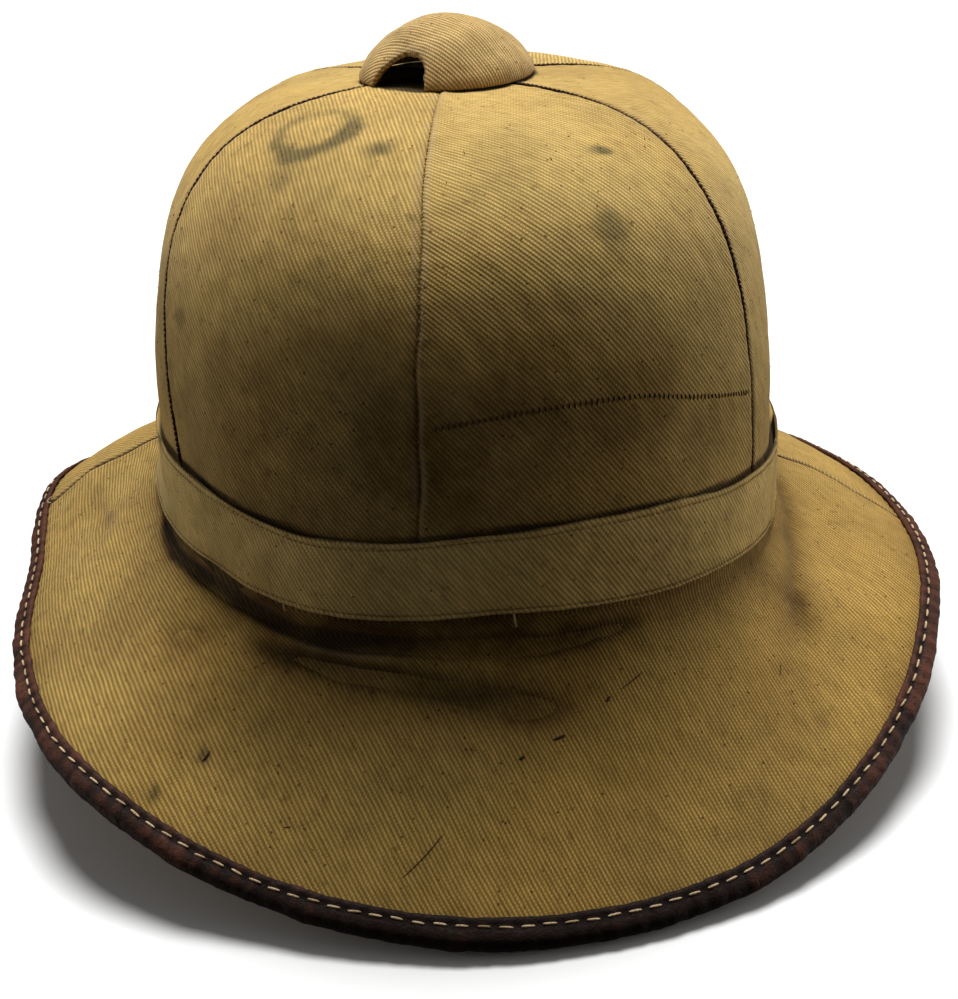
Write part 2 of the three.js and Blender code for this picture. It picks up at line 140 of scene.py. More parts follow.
# Dents and soft folds of the brim: azimuth, share of its width, spreads of both, and depth.
FOLDS = (
    (-122, 0.1, 16, 0.09, -1.8),
    (-104, 0.25, 12, 0.08, 1.3),
    (-92, 0.42, 10, 0.08, -0.8),
    (-45, 0.3, 7, 0.25, -1.8),
    (-146, 0.6, 9, 0.3, -1.2),
    (-131, 0.45, 9, 0.2, 1),
)

# Narrower creases of the brim: points (azimuth, share), half width, and height, below 0 in a hollow.
CREASES = (
    (((-164, 0.07), (-148, 0.13), (-137, 0.11), (-126, 0.09), (-112, 0.12), (-103, 0.12)), 2.6, -2.8),
    (((-118, 0.1), (-104, 0.12), (-97, 0.15), (-84, 0.16), (-66, 0.1)), 3, -1.9),
    (((-121, 0.18), (-110, 0.2), (-99, 0.22)), 2.2, 0.9),
    (((-127, 0.29), (-116, 0.26), (-103, 0.29), (-93, 0.33), (-79, 0.42)), 3.4, -1.7),
    (((-142, 0.46), (-134, 0.4), (-127, 0.31)), 4.2, -1.2),
    (((-194, 0.55), (-186, 0.62), (-176, 0.5), (-168, 0.62)), 3.5, -0.6),
    (((-2, 0.08), (-13, 0.18), (-26, 0.24), (-38, 0.37), (-47, 0.58)), 4.6, -1.1),
)

# How far a crease fades out at its ends, the depth at which its painted shade is full, and that shade's
# spread.
CREASE_FADE = 11
CREASE_FULL_DEPTH = 2.1
CREASE_SHADE_SPREAD = 1.6

# Flat map of the brim: its middle azimuth, and millimetres for a radian and for the brim's width.
BRIM_MAP_MIDDLE = -90
BRIM_MAP_RADIUS = 128
BRIM_MAP_WIDTH = 78

# Slow and quick unevenness of each skin: height, size of the waves and seed.
CROWN_UNEVEN = ((0.34, 46, 11), (0.07, 9, 12))
BRIM_UNEVEN = ((0.42, 52, 21), (0.1, 12, 22))
BAND_UNEVEN = ((0.22, 34, 31), (0.08, 8, 32))
LEATHER_UNEVEN = ((0.08, 3.6, 41), (0.14, 9, 42))
CAP_UNEVEN = ((0.2, 15, 51), (0.06, 5, 52))

# Twill: distance between ribs in each cloth, a thread's length in ribs, angles below level, and the
# share of a full turn that the brim's cloth takes when it lies flat.
CROWN_TWILL_PITCH = 1.09
BRIM_TWILL_PITCH = 1.14
BAND_TWILL_PITCH = 1.08
CAP_TWILL_PITCH = 1.08
TWILL_THREAD = 0.8
GORE_RIB_ANGLE = 52
BAND_RIB_ANGLE = 58
BRIM_RIB_ANGLE = 63
CAP_RIB_ANGLE = 44
BRIM_CONE = 0.74

# Stitches.
EDGE_STITCH_PITCH = 5.3
EDGE_STITCH_LENGTH = 3.4
EDGE_STITCH_RADIUS = 0.31

# Mesh steps.
GORE_COLUMNS = 84
GORE_ROWS = 132
BACK_ROWS = 10
COVER_STEP = 1.3
COVER_ROWS = 64
BAND_COLUMNS = 480
BINDING_COLUMNS = 1300
CORK_COLUMNS = 300
CAP_COLUMNS = 720
CAP_ROWS = 46
CAP_INSIDE_ROWS = 14

# How many there are: stitches in each line of the band, and loose thread ends.
BAND_STITCHES = 380
FRAYS_PER_NOTCH = 70
BRIM_STRAYS = 150
CROWN_STRAYS = 110

# Where painted shade and soil are strongest: the middle azimuth and half width, on the crown and on the
# brim.
CROWN_SHADE_AND_SOIL = (-101, 44)
BRIM_SHADE_AND_SOIL = (-102, 52)

# The lamp: strength, width in degrees and the direction that it shines from.
LAMP_STRENGTH = 4.2
LAMP_ANGLE = 28
LAMP_DIRECTION = (0.05, 0.4, 1.0)


def rim(column, azimuth):
    """A column of RIM at an azimuth, on a smooth closed curve through its rows."""
    values = RIM[:, RIM_COLUMNS.index(column)]
    place = ((np.asarray(azimuth, float) + TURN / 2) % TURN) * (len(values) / TURN)
    row = np.floor(place).astype(int)
    a, b, c, d = (values[(row + k) % len(values)] for k in (-1, 0, 1, 2))
    t = place - row
    return b + 0.5 * t * (c - a + t * (2 * a - 5 * b + 4 * c - d + t * (3 * (b - c) + d - a)))


def crown_plan(azimuth):
    across = np.abs(np.cos(np.radians(azimuth))) / CROWN_HALF_WIDTH
    along = np.abs(np.sin(np.radians(azimuth))) / CROWN_HALF_LENGTH
    return (across ** CROWN_PLAN_POWER + along ** CROWN_PLAN_POWER) ** (-1 / CROWN_PLAN_POWER)


def crown_radius(azimuth, z):
    rise = np.clip((z - CROWN_BASE_HEIGHT) / CROWN_RISE, 0, 1)
    return crown_plan(azimuth) * (1 - rise ** CROWN_RISE_POWER) ** (1 / CROWN_SHOULDER_POWER)


def height_at_radius(radius):
    share = (radius / CROWN_HALF_WIDTH) ** CROWN_SHOULDER_POWER
    return CROWN_BASE_HEIGHT + CROWN_RISE * (1 - share) ** (1 / CROWN_RISE_POWER)


def wall_radius(azimuth, z):
    """Radius of the covered wall behind the band, which flares towards the brim."""
    drop = rim("foot", azimuth) + BAND_LAP - z
    flare = FLARE_SHARE * rim("flare", azimuth)
    return crown_radius(azimuth, z) + flare * np.clip(drop / (BAND_LAP + BRIM_START_DROP), 0, 1)


def in_plan(azimuth, radius, z):
    angle = np.radians(azimuth)
    return np.stack(np.broadcast_arrays(radius * np.cos(angle), radius * np.sin(angle), z), -1)


def brim_section(azimuth, share):
    """Radius and height of the brim's upper side, at a share of the way to the stitch line."""
    start_z = rim("foot", azimuth) - BRIM_START_DROP
    start_r = wall_radius(azimuth, start_z)
    end_r, end_z = rim("reach", azimuth), rim("height", azimuth)
    run = np.hypot(end_r - start_r, end_z - start_z)
    start_slope = np.radians(-rim("start", azimuth))
    end_slope = np.radians(-rim("end", azimuth))
    u = np.minimum(share, 1)
    near = 2 * u ** 3 - 3 * u ** 2 + 1
    near_pull = (u ** 3 - 2 * u ** 2 + u) * BRIM_START_PULL * run
    far = 3 * u ** 2 - 2 * u ** 3
    far_pull = (u ** 3 - u ** 2) * BRIM_END_PULL * run
    past = (share - u) * run
    radius = near * start_r + near_pull * np.cos(start_slope) + far * end_r
    radius = radius + (far_pull + past) * np.cos(end_slope)
    height = near * start_z + near_pull * np.sin(start_slope) + far * end_z
    height = height + (far_pull + past) * np.sin(end_slope)
    return radius, height


def brim_run(azimuth):
    """Straight distance from the brim's start to its stitch line."""
    start, end = brim_section(azimuth, 0), brim_section(azimuth, 1)
    return np.hypot(end[0] - start[0], end[1] - start[1])


def turn_from(azimuth, centre):
    """Signed degrees from a centre azimuth, between -180 and 180."""
    return (azimuth - centre + TURN / 2) % TURN - TURN / 2


def fold_depth(azimuth, share):
    depth = 0
    for centre, middle, spread, share_spread, height in FOLDS:
        fall = (turn_from(azimuth, centre) / spread) ** 2 + ((share - middle) / share_spread) ** 2
        depth = depth + height * np.exp(-fall)
    return depth


def brim_skin(azimuth, share):
    radius, height = brim_section(azimuth, share)
    return in_plan(azimuth, radius, height + fold_depth(azimuth, share))


def normals_of(points, closed):
    """Outward normals of a grid of points whose columns go round and whose rows go down or out."""
    if closed:
        across = np.roll(points, -1, 0) - np.roll(points, 1, 0)
    else:
        across = np.gradient(points, axis=0)
    along = np.gradient(points, axis=1)
    normal = np.cross(along, across)
    return normal / np.maximum(np.linalg.norm(normal, axis=-1, keepdims=True), 1e-9)


def lifted(points, distance, closed=False):
    """A grid moved out along its own normals."""
    distance = np.broadcast_to(distance, points.shape[:-1])
    return points + normals_of(points, closed) * distance[..., None]


def ripple(points, size, seed):
    """Smooth unevenness, mostly between -1 and 1, in waves about this size."""
    rng = np.random.default_rng(seed)
    count = 14
    directions = rng.normal(size=(count, 3))
    directions /= np.linalg.norm(directions, axis=1, keepdims=True)
    waves = directions * (2 * math.pi / size) * rng.uniform(0.6, 1.5, (count, 1))
    return np.sin(points @ waves.T + rng.uniform(0, 2 * math.pi, count)).sum(-1) / math.sqrt(count)


def unevenness(points, waves):
    """Several ripples together, each of them a height, a size and a seed."""
    return sum(height * ripple(points, size, seed) for height, size, seed in waves)


def running_length(points):
    """Distance along each row of points from its first one."""
    steps = np.linalg.norm(np.diff(points, axis=-2), axis=-1)
    return np.concatenate([np.zeros(steps.shape[:-1] + (1,)), np.cumsum(steps, axis=-1)], axis=-1)


def bell(distance, width):
    return np.exp(-(distance / width) ** 2)


def distance_to_path(x, y, path):
    """Distance of points to a path of (x, y) points."""
    best = np.full(np.broadcast(x, y).shape, np.inf)
    for (ax, ay), (bx, by) in zip(path, path[1:]):
        dx, dy = bx - ax, by - ay
        t = np.clip(((x - ax) * dx + (y - ay) * dy) / (dx * dx + dy * dy), 0, 1)
        best = np.minimum(best, np.hypot(x - ax - t * dx, y - ay - t * dy))
    return best


def brim_map(azimuth, share):
    """Flat coordinates of the brim in millimetres, for short distances on its near half."""
    around = np.radians(turn_from(azimuth, BRIM_MAP_MIDDLE)) * BRIM_MAP_RADIUS
    return around, share * BRIM_MAP_WIDTH


def crease_fall(azimuth, share, path, width):
    """1 along a crease, less to its sides and less towards both of its ends."""
    x, y = brim_map(azimuth, share)
    flat = [brim_map(a, s) for a, s in path]
    fall = bell(distance_to_path(x, y, flat), width)
    for end_x, end_y in (flat[0], flat[-1]):
        fall = fall * (1 - bell(np.hypot(x - end_x, y - end_y), CREASE_FADE))
    return fall


def crease_depth(azimuth, share):
    return sum(height * crease_fall(azimuth, share, path, width) for path, width, height in CREASES)


def crease_shade(azimuth, share):
    """Painted shade in the hollows of the creases, from 0 to 1, darkest in the wedge just below the band.
    """
    shade = 0
    for path, width, height in CREASES:
        if height < 0:
            fall = crease_fall(azimuth, share, path, CREASE_SHADE_SPREAD * width)
            shade = shade - height / CREASE_FULL_DEPTH * fall
    return np.clip(shade, 0, 1)


def weave_of(across, down, angle):
    """Weave coordinates from flat cloth coordinates: across the ribs and along them."""
    tilt = math.radians(angle)
    rib = across * math.sin(tilt) - down * math.cos(tilt)
    thread = across * math.cos(tilt) + down * math.sin(tilt)
    return np.stack(np.broadcast_arrays(rib, thread, 0.0), -1)


def loop_faces(columns, rows, closed):
    """Quads of a grid whose rows close on themselves, and whose columns may."""
    spans = columns if closed else columns - 1
    i = np.arange(spans)[:, None]
    j = np.arange(rows)[None, :]
    here, there = i * rows, ((i + 1) % columns) * rows
    after = (j + 1) % rows
    return np.stack([here + j, here + after, there + after, there + j], -1).reshape(-1, 4)


def ladder(outer_rows, inner_rows):
    """Triangles that close the end of a wall, as places in its loop of rows."""
    steps = []
    j = k = 0
    back = outer_rows + inner_rows - 1
    while j < outer_rows - 1 or k < inner_rows - 1:
        if k == inner_rows - 1 or (j < outer_rows - 1 and j * (inner_rows - 1) <= k * (outer_rows - 1)):
            steps.append((j, j + 1, back - k))
            j += 1
        else:
            steps.append((j, back - k - 1, back - k))
            k += 1
    return np.array(steps)


def signed_volume(points, faces):
    a, b, c = (points[faces[:, k]] for k in (0, 1, 2))
    volume = np.einsum("ij,ij->", a, np.cross(b, c))
    if faces.shape[1] == 4:
        d = points[faces[:, 3]]
        volume += np.einsum("ij,ij->", a, np.cross(c, d))
    return volume


def add_piece(name, points, face_sets, material, slot, stands_for=(), **attributes):
    """A closed mesh that rides on the root. points are in millimetres, before the centre shift."""
    if sum(signed_volume(points, faces) for faces in face_sets) < 0:
        face_sets = [faces[:, ::-1] for faces in face_sets]
    faces = [face for group in face_sets for face in group.tolist()]
    mesh = bpy.data.meshes.new(name)
    mesh.from_pydata(((points + CENTRE_SHIFT) * MM).tolist(), [], faces)
    mesh.shade_smooth()
    for key, values in attributes.items():
        kind = "FLOAT_VECTOR" if np.ndim(values) == 2 else "FLOAT"
        field = "vector" if kind == "FLOAT_VECTOR" else "value"
        mesh.attributes.new(key, kind, "POINT").data.foreach_set(field, np.ravel(values).astype(float))
    mesh.materials.append(material)
    piece = bpy.data.objects.new(name, mesh)
    bpy.context.scene.collection.objects.link(piece)
    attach(piece, "root")
    if stands_for:
        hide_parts(*stands_for)
    return piece


def add_wall(name, outer, inner, closed, material, slot, stands_for, fields):
    """A wall between two grids of points. fields are per point of the outer grid."""
    loop = np.concatenate([outer, inner[:, ::-1]], axis=1)
    columns, rows = loop.shape[:2]
    faces = [loop_faces(columns, rows, closed)]
    if not closed:
        end = ladder(outer.shape[1], inner.shape[1])
        faces += [end, end[:, ::-1] + (columns - 1) * rows]
    back = np.linspace(outer.shape[1] - 1, 0, inner.shape[1]).astype(int)
    attributes = {}
    for key, values in fields.items():
        values = np.broadcast_to(values, outer.shape[:2] + np.shape(values)[2:])
        full = np.concatenate([values, values[:, back]], axis=1)
        attributes[key] = full.reshape(-1, 3) if full.ndim == 3 else full.ravel()
    return add_piece(name, loop.reshape(-1, 3), faces, material, slot, stands_for, **attributes)


def add_turned(name, columns_of_rows, material, slot, stands_for, **fields):
    """A closed body from columns of rows that all start and end on the axis."""
    ring = columns_of_rows[:, 1:-1]
    columns, rows = ring.shape[:2]
    poles = columns_of_rows[:, [0, -1]].mean(axis=0)
    points = np.concatenate([ring.reshape(-1, 3), poles])
    i = np.arange(columns)
    here, there = i * rows, ((i + 1) % columns) * rows
    j = np.arange(rows - 1)
    grid = np.stack([
        here[:, None] + j, here[:, None] + j + 1, there[:, None] + j + 1, there[:, None] + j,
    ], -1).reshape(-1, 4)
    top = np.stack([np.full(columns, columns * rows), here, there], -1)
    bottom = np.stack([np.full(columns, columns * rows + 1), there + rows - 1, here + rows - 1], -1)
    attributes = {}
    for key, values in fields.items():
        values = np.broadcast_to(values, columns_of_rows.shape[:2] + np.shape(values)[2:])
        ends = values[:, [0, -1]].mean(axis=0)
        body = values[:, 1:-1].reshape((-1,) + values.shape[2:])
        attributes[key] = np.concatenate([body, ends])
    return add_piece(name, points, [grid, top, bottom], material, slot, stands_for, **attributes)


def add_threads(name, centres, along, normal, length, radius, arch, material, slot, sides, rings):
    """Short rounded threads, each arched over the cloth, as one mesh."""
    count = len(centres)
    along = along / np.linalg.norm(along, axis=1, keepdims=True)
    side = np.cross(normal, along)
    side /= np.linalg.norm(side, axis=1, keepdims=True)
    up = np.cross(along, side)
    turn = np.linspace(0, 2 * math.pi, sides, endpoint=False)
    x = np.sin(np.linspace(-0.5, 0.5, rings + 2)[1:-1] * math.pi)
    thick = (1 - x ** 4) ** 0.5
    length, radius, arch = (np.broadcast_to(v, count)[:, None, None] for v in (length, radius, arch))
    ends = np.array([-1.0, 1.0])

    def placed(x_share, sideways, upward):
        lengthways = (length * x_share / 2)[..., None] * along[:, None, None]
        return (centres[:, None, None] + lengthways + sideways[..., None] * side[:, None, None]
                + upward[..., None] * up[:, None, None])

    ring_x, ring_thick = x[None, :, None], thick[None, :, None]
    rise = arch * (1 - ring_x ** 2)
    body = placed(ring_x * np.ones(sides), radius * ring_thick * np.cos(turn),
                  rise + radius * ring_thick * np.sin(turn))
    tips = placed(ends, np.zeros(2), np.zeros(2))
    points = np.concatenate([body.reshape(count, -1, 3), tips.reshape(count, -1, 3)], axis=1)
    size = rings * sides + 2
    j = np.arange(rings - 1)[:, None] * sides
    k = np.arange(sides)[None, :]
    after = (k + 1) % sides
    quads = np.stack([j + k, j + after, j + sides + after, j + sides + k], -1).reshape(-1, 4)
    k, after = k[0], after[0]
    last = (rings - 1) * sides
    start = np.stack([np.full(sides, size - 2), after, k], -1)
    end = np.stack([np.full(sides, size - 1), last + k, last + after], -1)
    shift = (np.arange(count) * size)[:, None, None]
    sets = [(part[None] + shift).reshape(-1, part.shape[1]) for part in (quads, start, end)]
    return add_piece(name, points.reshape(-1, 3), sets, material, slot)


def add_strands(name, paths, radius, material, slot, sides):
    """Thin strands along paths of points, with tapered ends, as one mesh."""
    points, quads, caps = [], [], []
    base = 0
    turn = np.linspace(0, 2 * math.pi, sides, endpoint=False)
    for path in paths:
        path = np.asarray(path, float)
        tangent = np.gradient(path, axis=0)
        tangent /= np.linalg.norm(tangent, axis=1, keepdims=True)
        side = np.cross(tangent, (0.3, 0.2, 0.93))
        side /= np.linalg.norm(side, axis=1, keepdims=True)
        up = np.cross(tangent, side)
        x = np.linspace(-1, 1, len(path))
        thick = radius * (1 - 0.75 * x ** 6)
        ring = side[:, None] * np.cos(turn)[:, None] + up[:, None] * np.sin(turn)[:, None]
        points.append((path[:, None] + thick[:, None, None] * ring).reshape(-1, 3))
        j = np.arange(len(path) - 1)[:, None] * sides
        k = np.arange(sides)[None, :]
        after = (k + 1) % sides
        grid = np.stack([j + k, j + after, j + sides + after, j + sides + k], -1)
        quads.append(grid.reshape(-1, 4) + base)
        last = base + (len(path) - 1) * sides
        fan = np.arange(1, sides - 1)
        caps.append(np.stack([np.full(sides - 2, base), base + fan + 1, base + fan], -1))
        caps.append(np.stack([np.full(sides - 2, last), last + fan, last + fan + 1], -1))
        base += len(path) * sides
    sets = [np.concatenate(quads), np.concatenate(caps)]
    return add_piece(name, np.concatenate(points), sets, material, slot)


class Nodes:
    """A node tree, with short calls for the nodes that this scene needs."""

    def __init__(self, tree):
        self.tree = tree

    def node(self, kind, **settings):
        node = self.tree.nodes.new("ShaderNode" + kind)
        for key, value in settings.items():
            setattr(node, key, value)
        return node

    def feed(self, socket, value):
        if isinstance(value, bpy.types.NodeSocket):
            self.tree.links.new(value, socket)
        else:
            socket.default_value = value

    def math(self, operation, a, b=0.5, clamp=False):
        node = self.node("Math", operation=operation, use_clamp=clamp)
        self.feed(node.inputs[0], a)
        self.feed(node.inputs[1], b)
        return node.outputs[0]

    def times(self, a, b, clamp=False):
        return self.math("MULTIPLY", a, b, clamp)

    def plus(self, a, b):
        return self.math("ADD", a, b)

    def ramp(self, value, low, high, to_low=0.0, to_high=1.0):
        node = self.node("MapRange", interpolation_type="SMOOTHSTEP")
        for socket, item in zip(node.inputs, (value, low, high, to_low, to_high)):
            self.feed(socket, item)
        return node.outputs[0]

    def wave(self, turns):
        """A smooth wave from 0 to 1, once for each turn."""
        sine = self.math("SINE", self.times(turns, 2 * math.pi))
        return self.plus(self.times(sine, 0.5), 0.5)

    def attribute(self, name, output="Fac"):
        return self.node("Attribute", attribute_name=name).outputs[output]

    def position(self):
        return self.node("TexCoord").outputs["Object"]

    def scaled(self, vector, factors):
        node = self.node("VectorMath", operation="MULTIPLY")
        self.feed(node.inputs[0], vector)
        self.feed(node.inputs[1], factors)
        return node.outputs[0]

    def split(self, vector):
        node = self.node("SeparateXYZ")
        self.feed(node.inputs[0], vector)
        return node.outputs

    def noise(self, vector, scale, detail=2.0, roughness=0.5):
        node = self.node("TexNoise")
        self.feed(node.inputs["Vector"], vector)
        node.inputs["Scale"].default_value = scale
        node.inputs["Detail"].default_value = detail
        node.inputs["Roughness"].default_value = roughness
        return node.outputs["Fac"]

    def cells(self, vector, scale, feature="F1", output="Distance"):
        node = self.node("TexVoronoi", feature=feature)
        self.feed(node.inputs["Vector"], vector)
        node.inputs["Scale"].default_value = scale
        return node.outputs[output]

    def mix(self, factor, a, b, blend="MIX"):
        node = self.node("Mix", data_type="RGBA", blend_type=blend)
        self.feed(node.inputs["Factor"], factor)
        self.feed(node.inputs["A"], a)
        self.feed(node.inputs["B"], b)
        return node.outputs["Result"]


class Shader(Nodes):
    """A new material's nodes, which feed its one surface shader."""

    def __init__(self, name):
        self.material = bpy.data.materials.new(name)
        self.material.use_nodes = True
        super().__init__(self.material.node_tree)
        self.surface = self.tree.nodes["Principled BSDF"]

    def bump(self, height, distance):
        node = self.node("Bump")
        node.inputs["Strength"].default_value = 1.0
        node.inputs["Distance"].default_value = distance
        self.feed(node.inputs["Height"], height)
        self.feed(self.surface.inputs["Normal"], node.outputs["Normal"])

    def finish(self, color, roughness, **constants):
        self.feed(self.surface.inputs["Base Color"], color)
        self.feed(self.surface.inputs["Roughness"], roughness)
        for key, value in constants.items():
            self.surface.inputs[key.replace("_", " ")].default_value = value
        return self.material


def rgb(red, green, blue):
    return (red, green, blue, 1.0)


def twill_threads(shader, pitch):
    """Knots of thread along the ribs, fuzz over them and slubs along them."""
    weave = shader.attribute("weave", "Vector")
    sway = shader.times(shader.math("SUBTRACT", shader.noise(weave, 0.06), 0.5), 0.8)
    across, along, _ = shader.split(weave)
    turns = shader.math("DIVIDE", shader.plus(across, sway), pitch)
    lengths = shader.math("DIVIDE", along, TWILL_THREAD * pitch)
    threads = shader.wave(shader.plus(lengths, shader.times(turns, 0.66)))
    slub = shader.noise(shader.scaled(weave, (0.9, 0.16, 1.0)), 1.0, 3.0, 0.6)
    fuzz = shader.noise(weave, 2.2, 2.0, 0.7)
    knots = shader.times(shader.wave(turns), shader.ramp(threads, 0.0, 0.85, 0.56, 1.0))
    return knots, fuzz, slub


def twill_dye(shader, place, color, slub):
    """Uneven dye: streaks along the slubs, soft mottling and warmer patches."""
    streak = shader.ramp(slub, 0.32, 0.7, 0.84, 1.12)
    mottle = shader.ramp(shader.noise(place, 26.0, 4.0, 0.6), 0.3, 0.7, 0.88, 1.1)
    tone = shader.times(streak, mottle)
    grey = shader.node("CombineColor")
    for socket in grey.inputs[:3]:
        shader.feed(socket, tone)
    color = shader.mix(1.0, color, grey.outputs[0], "MULTIPLY")
    warm = shader.ramp(shader.noise(place, 11.0, 3.0, 0.55), 0.35, 0.65)
    return shader.mix(shader.times(warm, 0.35), color, rgb(1.0, 0.86, 0.6), "MULTIPLY")


def twill_dirt_and_shade(shader, place, color, shade_and_soil_tint):
    """Soil and painted shade, stains, rubbed places, specks and smudges over the dyed cloth."""
    shade_and_soil_break = shader.ramp(shader.noise(place, 48.0, 5.0, 0.65), 0.25, 0.75, 0.55, 1.3)
    # The soil field holds real soil and also painted shade, and the tint darkens the cloth by both.
    soil = shader.times(shader.attribute("soil"), shade_and_soil_break, clamp=True)
    color = shader.mix(soil, color, shade_and_soil_tint, "MULTIPLY")
    ragged = shader.times(shader.math("SUBTRACT", shader.noise(place, 120.0, 5.0, 0.7), 0.5), 0.7)
    # The stain field holds real stains and also painted shade, which this grey-green darkens as well.
    stain = shader.attribute("stain")
    stain = shader.plus(stain, shader.times(ragged, shader.ramp(stain, 0, 0.4)))
    color = shader.mix(shader.ramp(stain, 0.08, 1.0), color, rgb(0.34, 0.37, 0.4), "MULTIPLY")
    color = shader.mix(shader.times(shader.attribute("wear"), 0.75), color, rgb(0.56, 0.42, 0.24))
    near = shader.ramp(shader.cells(place, 360.0), 0.17, 0.07)
    chosen = shader.ramp(shader.split(shader.cells(place, 360.0, "F1", "Color"))[0], 0.6, 0.68)
    specks = shader.times(near, chosen)
    smudges = shader.ramp(shader.noise(place, 230.0, 3.0, 0.65), 0.58, 0.76)
    color = shader.mix(shader.times(specks, 0.85), color, rgb(0.24, 0.13, 0.09), "MULTIPLY")
    return shader.mix(shader.times(smudges, 0.5), color, rgb(0.4, 0.31, 0.24), "MULTIPLY")


def twill_material(name, pitch, rib, gap, shade_and_soil_tint):
    """Cotton twill: ribs of short threads, with uneven dye, soil, stains and painted shade."""
    shader = Shader(name)
    place = shader.position()
    knots, fuzz, slub = twill_threads(shader, pitch)
    height = shader.plus(shader.times(knots, 0.6), shader.times(fuzz, 0.4))
    shader.bump(shader.plus(height, shader.times(slub, 0.25)), 0.00018)
    show = shader.plus(knots, shader.times(shader.math("SUBTRACT", fuzz, 0.5), 1.5))
    color = shader.mix(shader.ramp(show, 0.0, 0.9), gap, rib)
    color = twill_dye(shader, place, color, slub)
    color = twill_dirt_and_shade(shader, place, color, shade_and_soil_tint)
    rough = shader.ramp(fuzz, 0.2, 0.8, 0.84, 0.97)
    return shader.finish(color, rough, Specular_IOR_Level=0.18, Sheen_Weight=0.06)


def leather_material():
    """Dark brown binding leather: fine grain, wrinkles, and red-brown that is partly rubbing and partly
    painted highlight.
    """
    shader = Shader("binding_leather")
    place = shader.position()
    grain = shader.cells(place, 1500.0, "SMOOTH_F1")
    pores = shader.noise(place, 700.0, 4.0, 0.65)
    cracks = shader.cells(place, 420.0, "DISTANCE_TO_EDGE")
    patch = shader.noise(place, 60.0, 4.0, 0.6)
    patch = shader.times(shader.math("SUBTRACT", patch, 0.5), 0.7)
    wear = shader.plus(shader.attribute("wear"), patch)
    color = shader.mix(shader.ramp(wear, 0.2, 0.95), rgb(0.013, 0.006, 0.004), rgb(0.115, 0.038, 0.02))
    color = shader.mix(shader.ramp(pores, 0.45, 0.7, 0.0, 0.5), color, rgb(0.008, 0.004, 0.003))
    color = shader.mix(shader.ramp(cracks, 0.04, 0.0, 0.0, 0.3), color, rgb(0.008, 0.004, 0.003))
    dust = shader.ramp(shader.noise(place, 900.0, 3.0, 0.7), 0.66, 0.78, 0.0, 0.2)
    color = shader.mix(dust, color, rgb(0.16, 0.1, 0.06))
    height = shader.plus(shader.times(grain, 0.4), shader.times(pores, 0.7))
    height = shader.plus(height, shader.ramp(cracks, 0.0, 0.12, 0.0, 0.12))
    shader.bump(height, 0.00026)
    rough = shader.ramp(pores, 0.3, 0.7, 0.56, 0.76)
    return shader.finish(color, rough, Specular_IOR_Level=0.13)


def thread_material(name, light, dark):
    """Twisted sewing thread, soiled unevenly."""
    shader = Shader(name)
    place = shader.position()
    twist = shader.noise(place, 2600.0, 2.0, 0.6)
    soil = shader.noise(place, 90.0, 3.0, 0.6)
    color = shader.mix(shader.ramp(soil, 0.4, 0.75), light, dark)
    color = shader.mix(shader.ramp(twist, 0.55, 0.35, 0.0, 0.6), color, dark)
    shader.bump(twist, 0.0001)
    return shader.finish(color, 0.85, Specular_IOR_Level=0.2)


def cork_material():
    """Pressed cork: pale and dark grains with pores."""
    shader = Shader("pressed_cork")
    place = shader.position()
    grain = shader.cells(place, 420.0, "F1", "Color")
    value = shader.split(grain)[0]
    pores = shader.noise(place, 900.0, 4.0, 0.7)
    edges = shader.cells(place, 420.0, "DISTANCE_TO_EDGE")
    color = shader.mix(value, rgb(0.27, 0.16, 0.075), rgb(0.5, 0.34, 0.18))
    color = shader.mix(shader.ramp(edges, 0.08, 0.0, 0.0, 0.7), color, rgb(0.11, 0.06, 0.03))
    color = shader.mix(shader.ramp(pores, 0.62, 0.75), color, rgb(0.08, 0.04, 0.02))
    height = shader.math("SUBTRACT", shader.times(value, 0.4), shader.ramp(pores, 0.6, 0.75))
    shader.bump(height, 0.0006)
    return shader.finish(color, 0.9, Specular_IOR_Level=0.2)


def steel_material():
    shader = Shader("dull_steel")
    place = shader.position()
    rub = shader.noise(shader.scaled(place, (1.0, 1.0, 6.0)), 400.0, 4.0, 0.6)
    rust = shader.ramp(shader.noise(place, 160.0, 4.0, 0.65), 0.55, 0.7)
    color = shader.mix(rust, rgb(0.36, 0.34, 0.31), rgb(0.16, 0.07, 0.03))
    shader.bump(rub, 0.0001)
    return shader.finish(color, shader.ramp(rub, 0.3, 0.7, 0.35, 0.6), Metallic=0.9)


# The last colour of each cloth is the tint of its soil and its painted shade.
crown_twill = twill_material(
    "crown_twill", CROWN_TWILL_PITCH,
    rgb(0.75, 0.53, 0.19), rgb(0.42, 0.275, 0.072), rgb(0.3, 0.25, 0.19))
brim_twill = twill_material(
    "brim_twill", BRIM_TWILL_PITCH,
    rgb(0.53, 0.355, 0.1), rgb(0.25, 0.15, 0.032), rgb(0.26, 0.2, 0.13))
band_twill = twill_material(
    "band_twill", BAND_TWILL_PITCH,
    rgb(0.88, 0.66, 0.27), rgb(0.56, 0.39, 0.125), rgb(0.3, 0.26, 0.2))
cap_twill = twill_material(
    "cap_twill", CAP_TWILL_PITCH,
    rgb(0.86, 0.62, 0.28), rgb(0.36, 0.23, 0.075), rgb(0.22, 0.17, 0.11))
leather = leather_material()
cream_thread = thread_material("cream_thread", rgb(0.66, 0.5, 0.3), rgb(0.26, 0.17, 0.08))
dark_thread = thread_material("dark_thread", rgb(0.075, 0.032, 0.02), rgb(0.022, 0.012, 0.008))
khaki_thread = thread_material("khaki_thread", rgb(0.3, 0.19, 0.08), rgb(0.1, 0.06, 0.025))
fray_thread = thread_material("fray_thread", rgb(0.3, 0.13, 0.06), rgb(0.08, 0.03, 0.015))
cork = cork_material()
steel = steel_material()


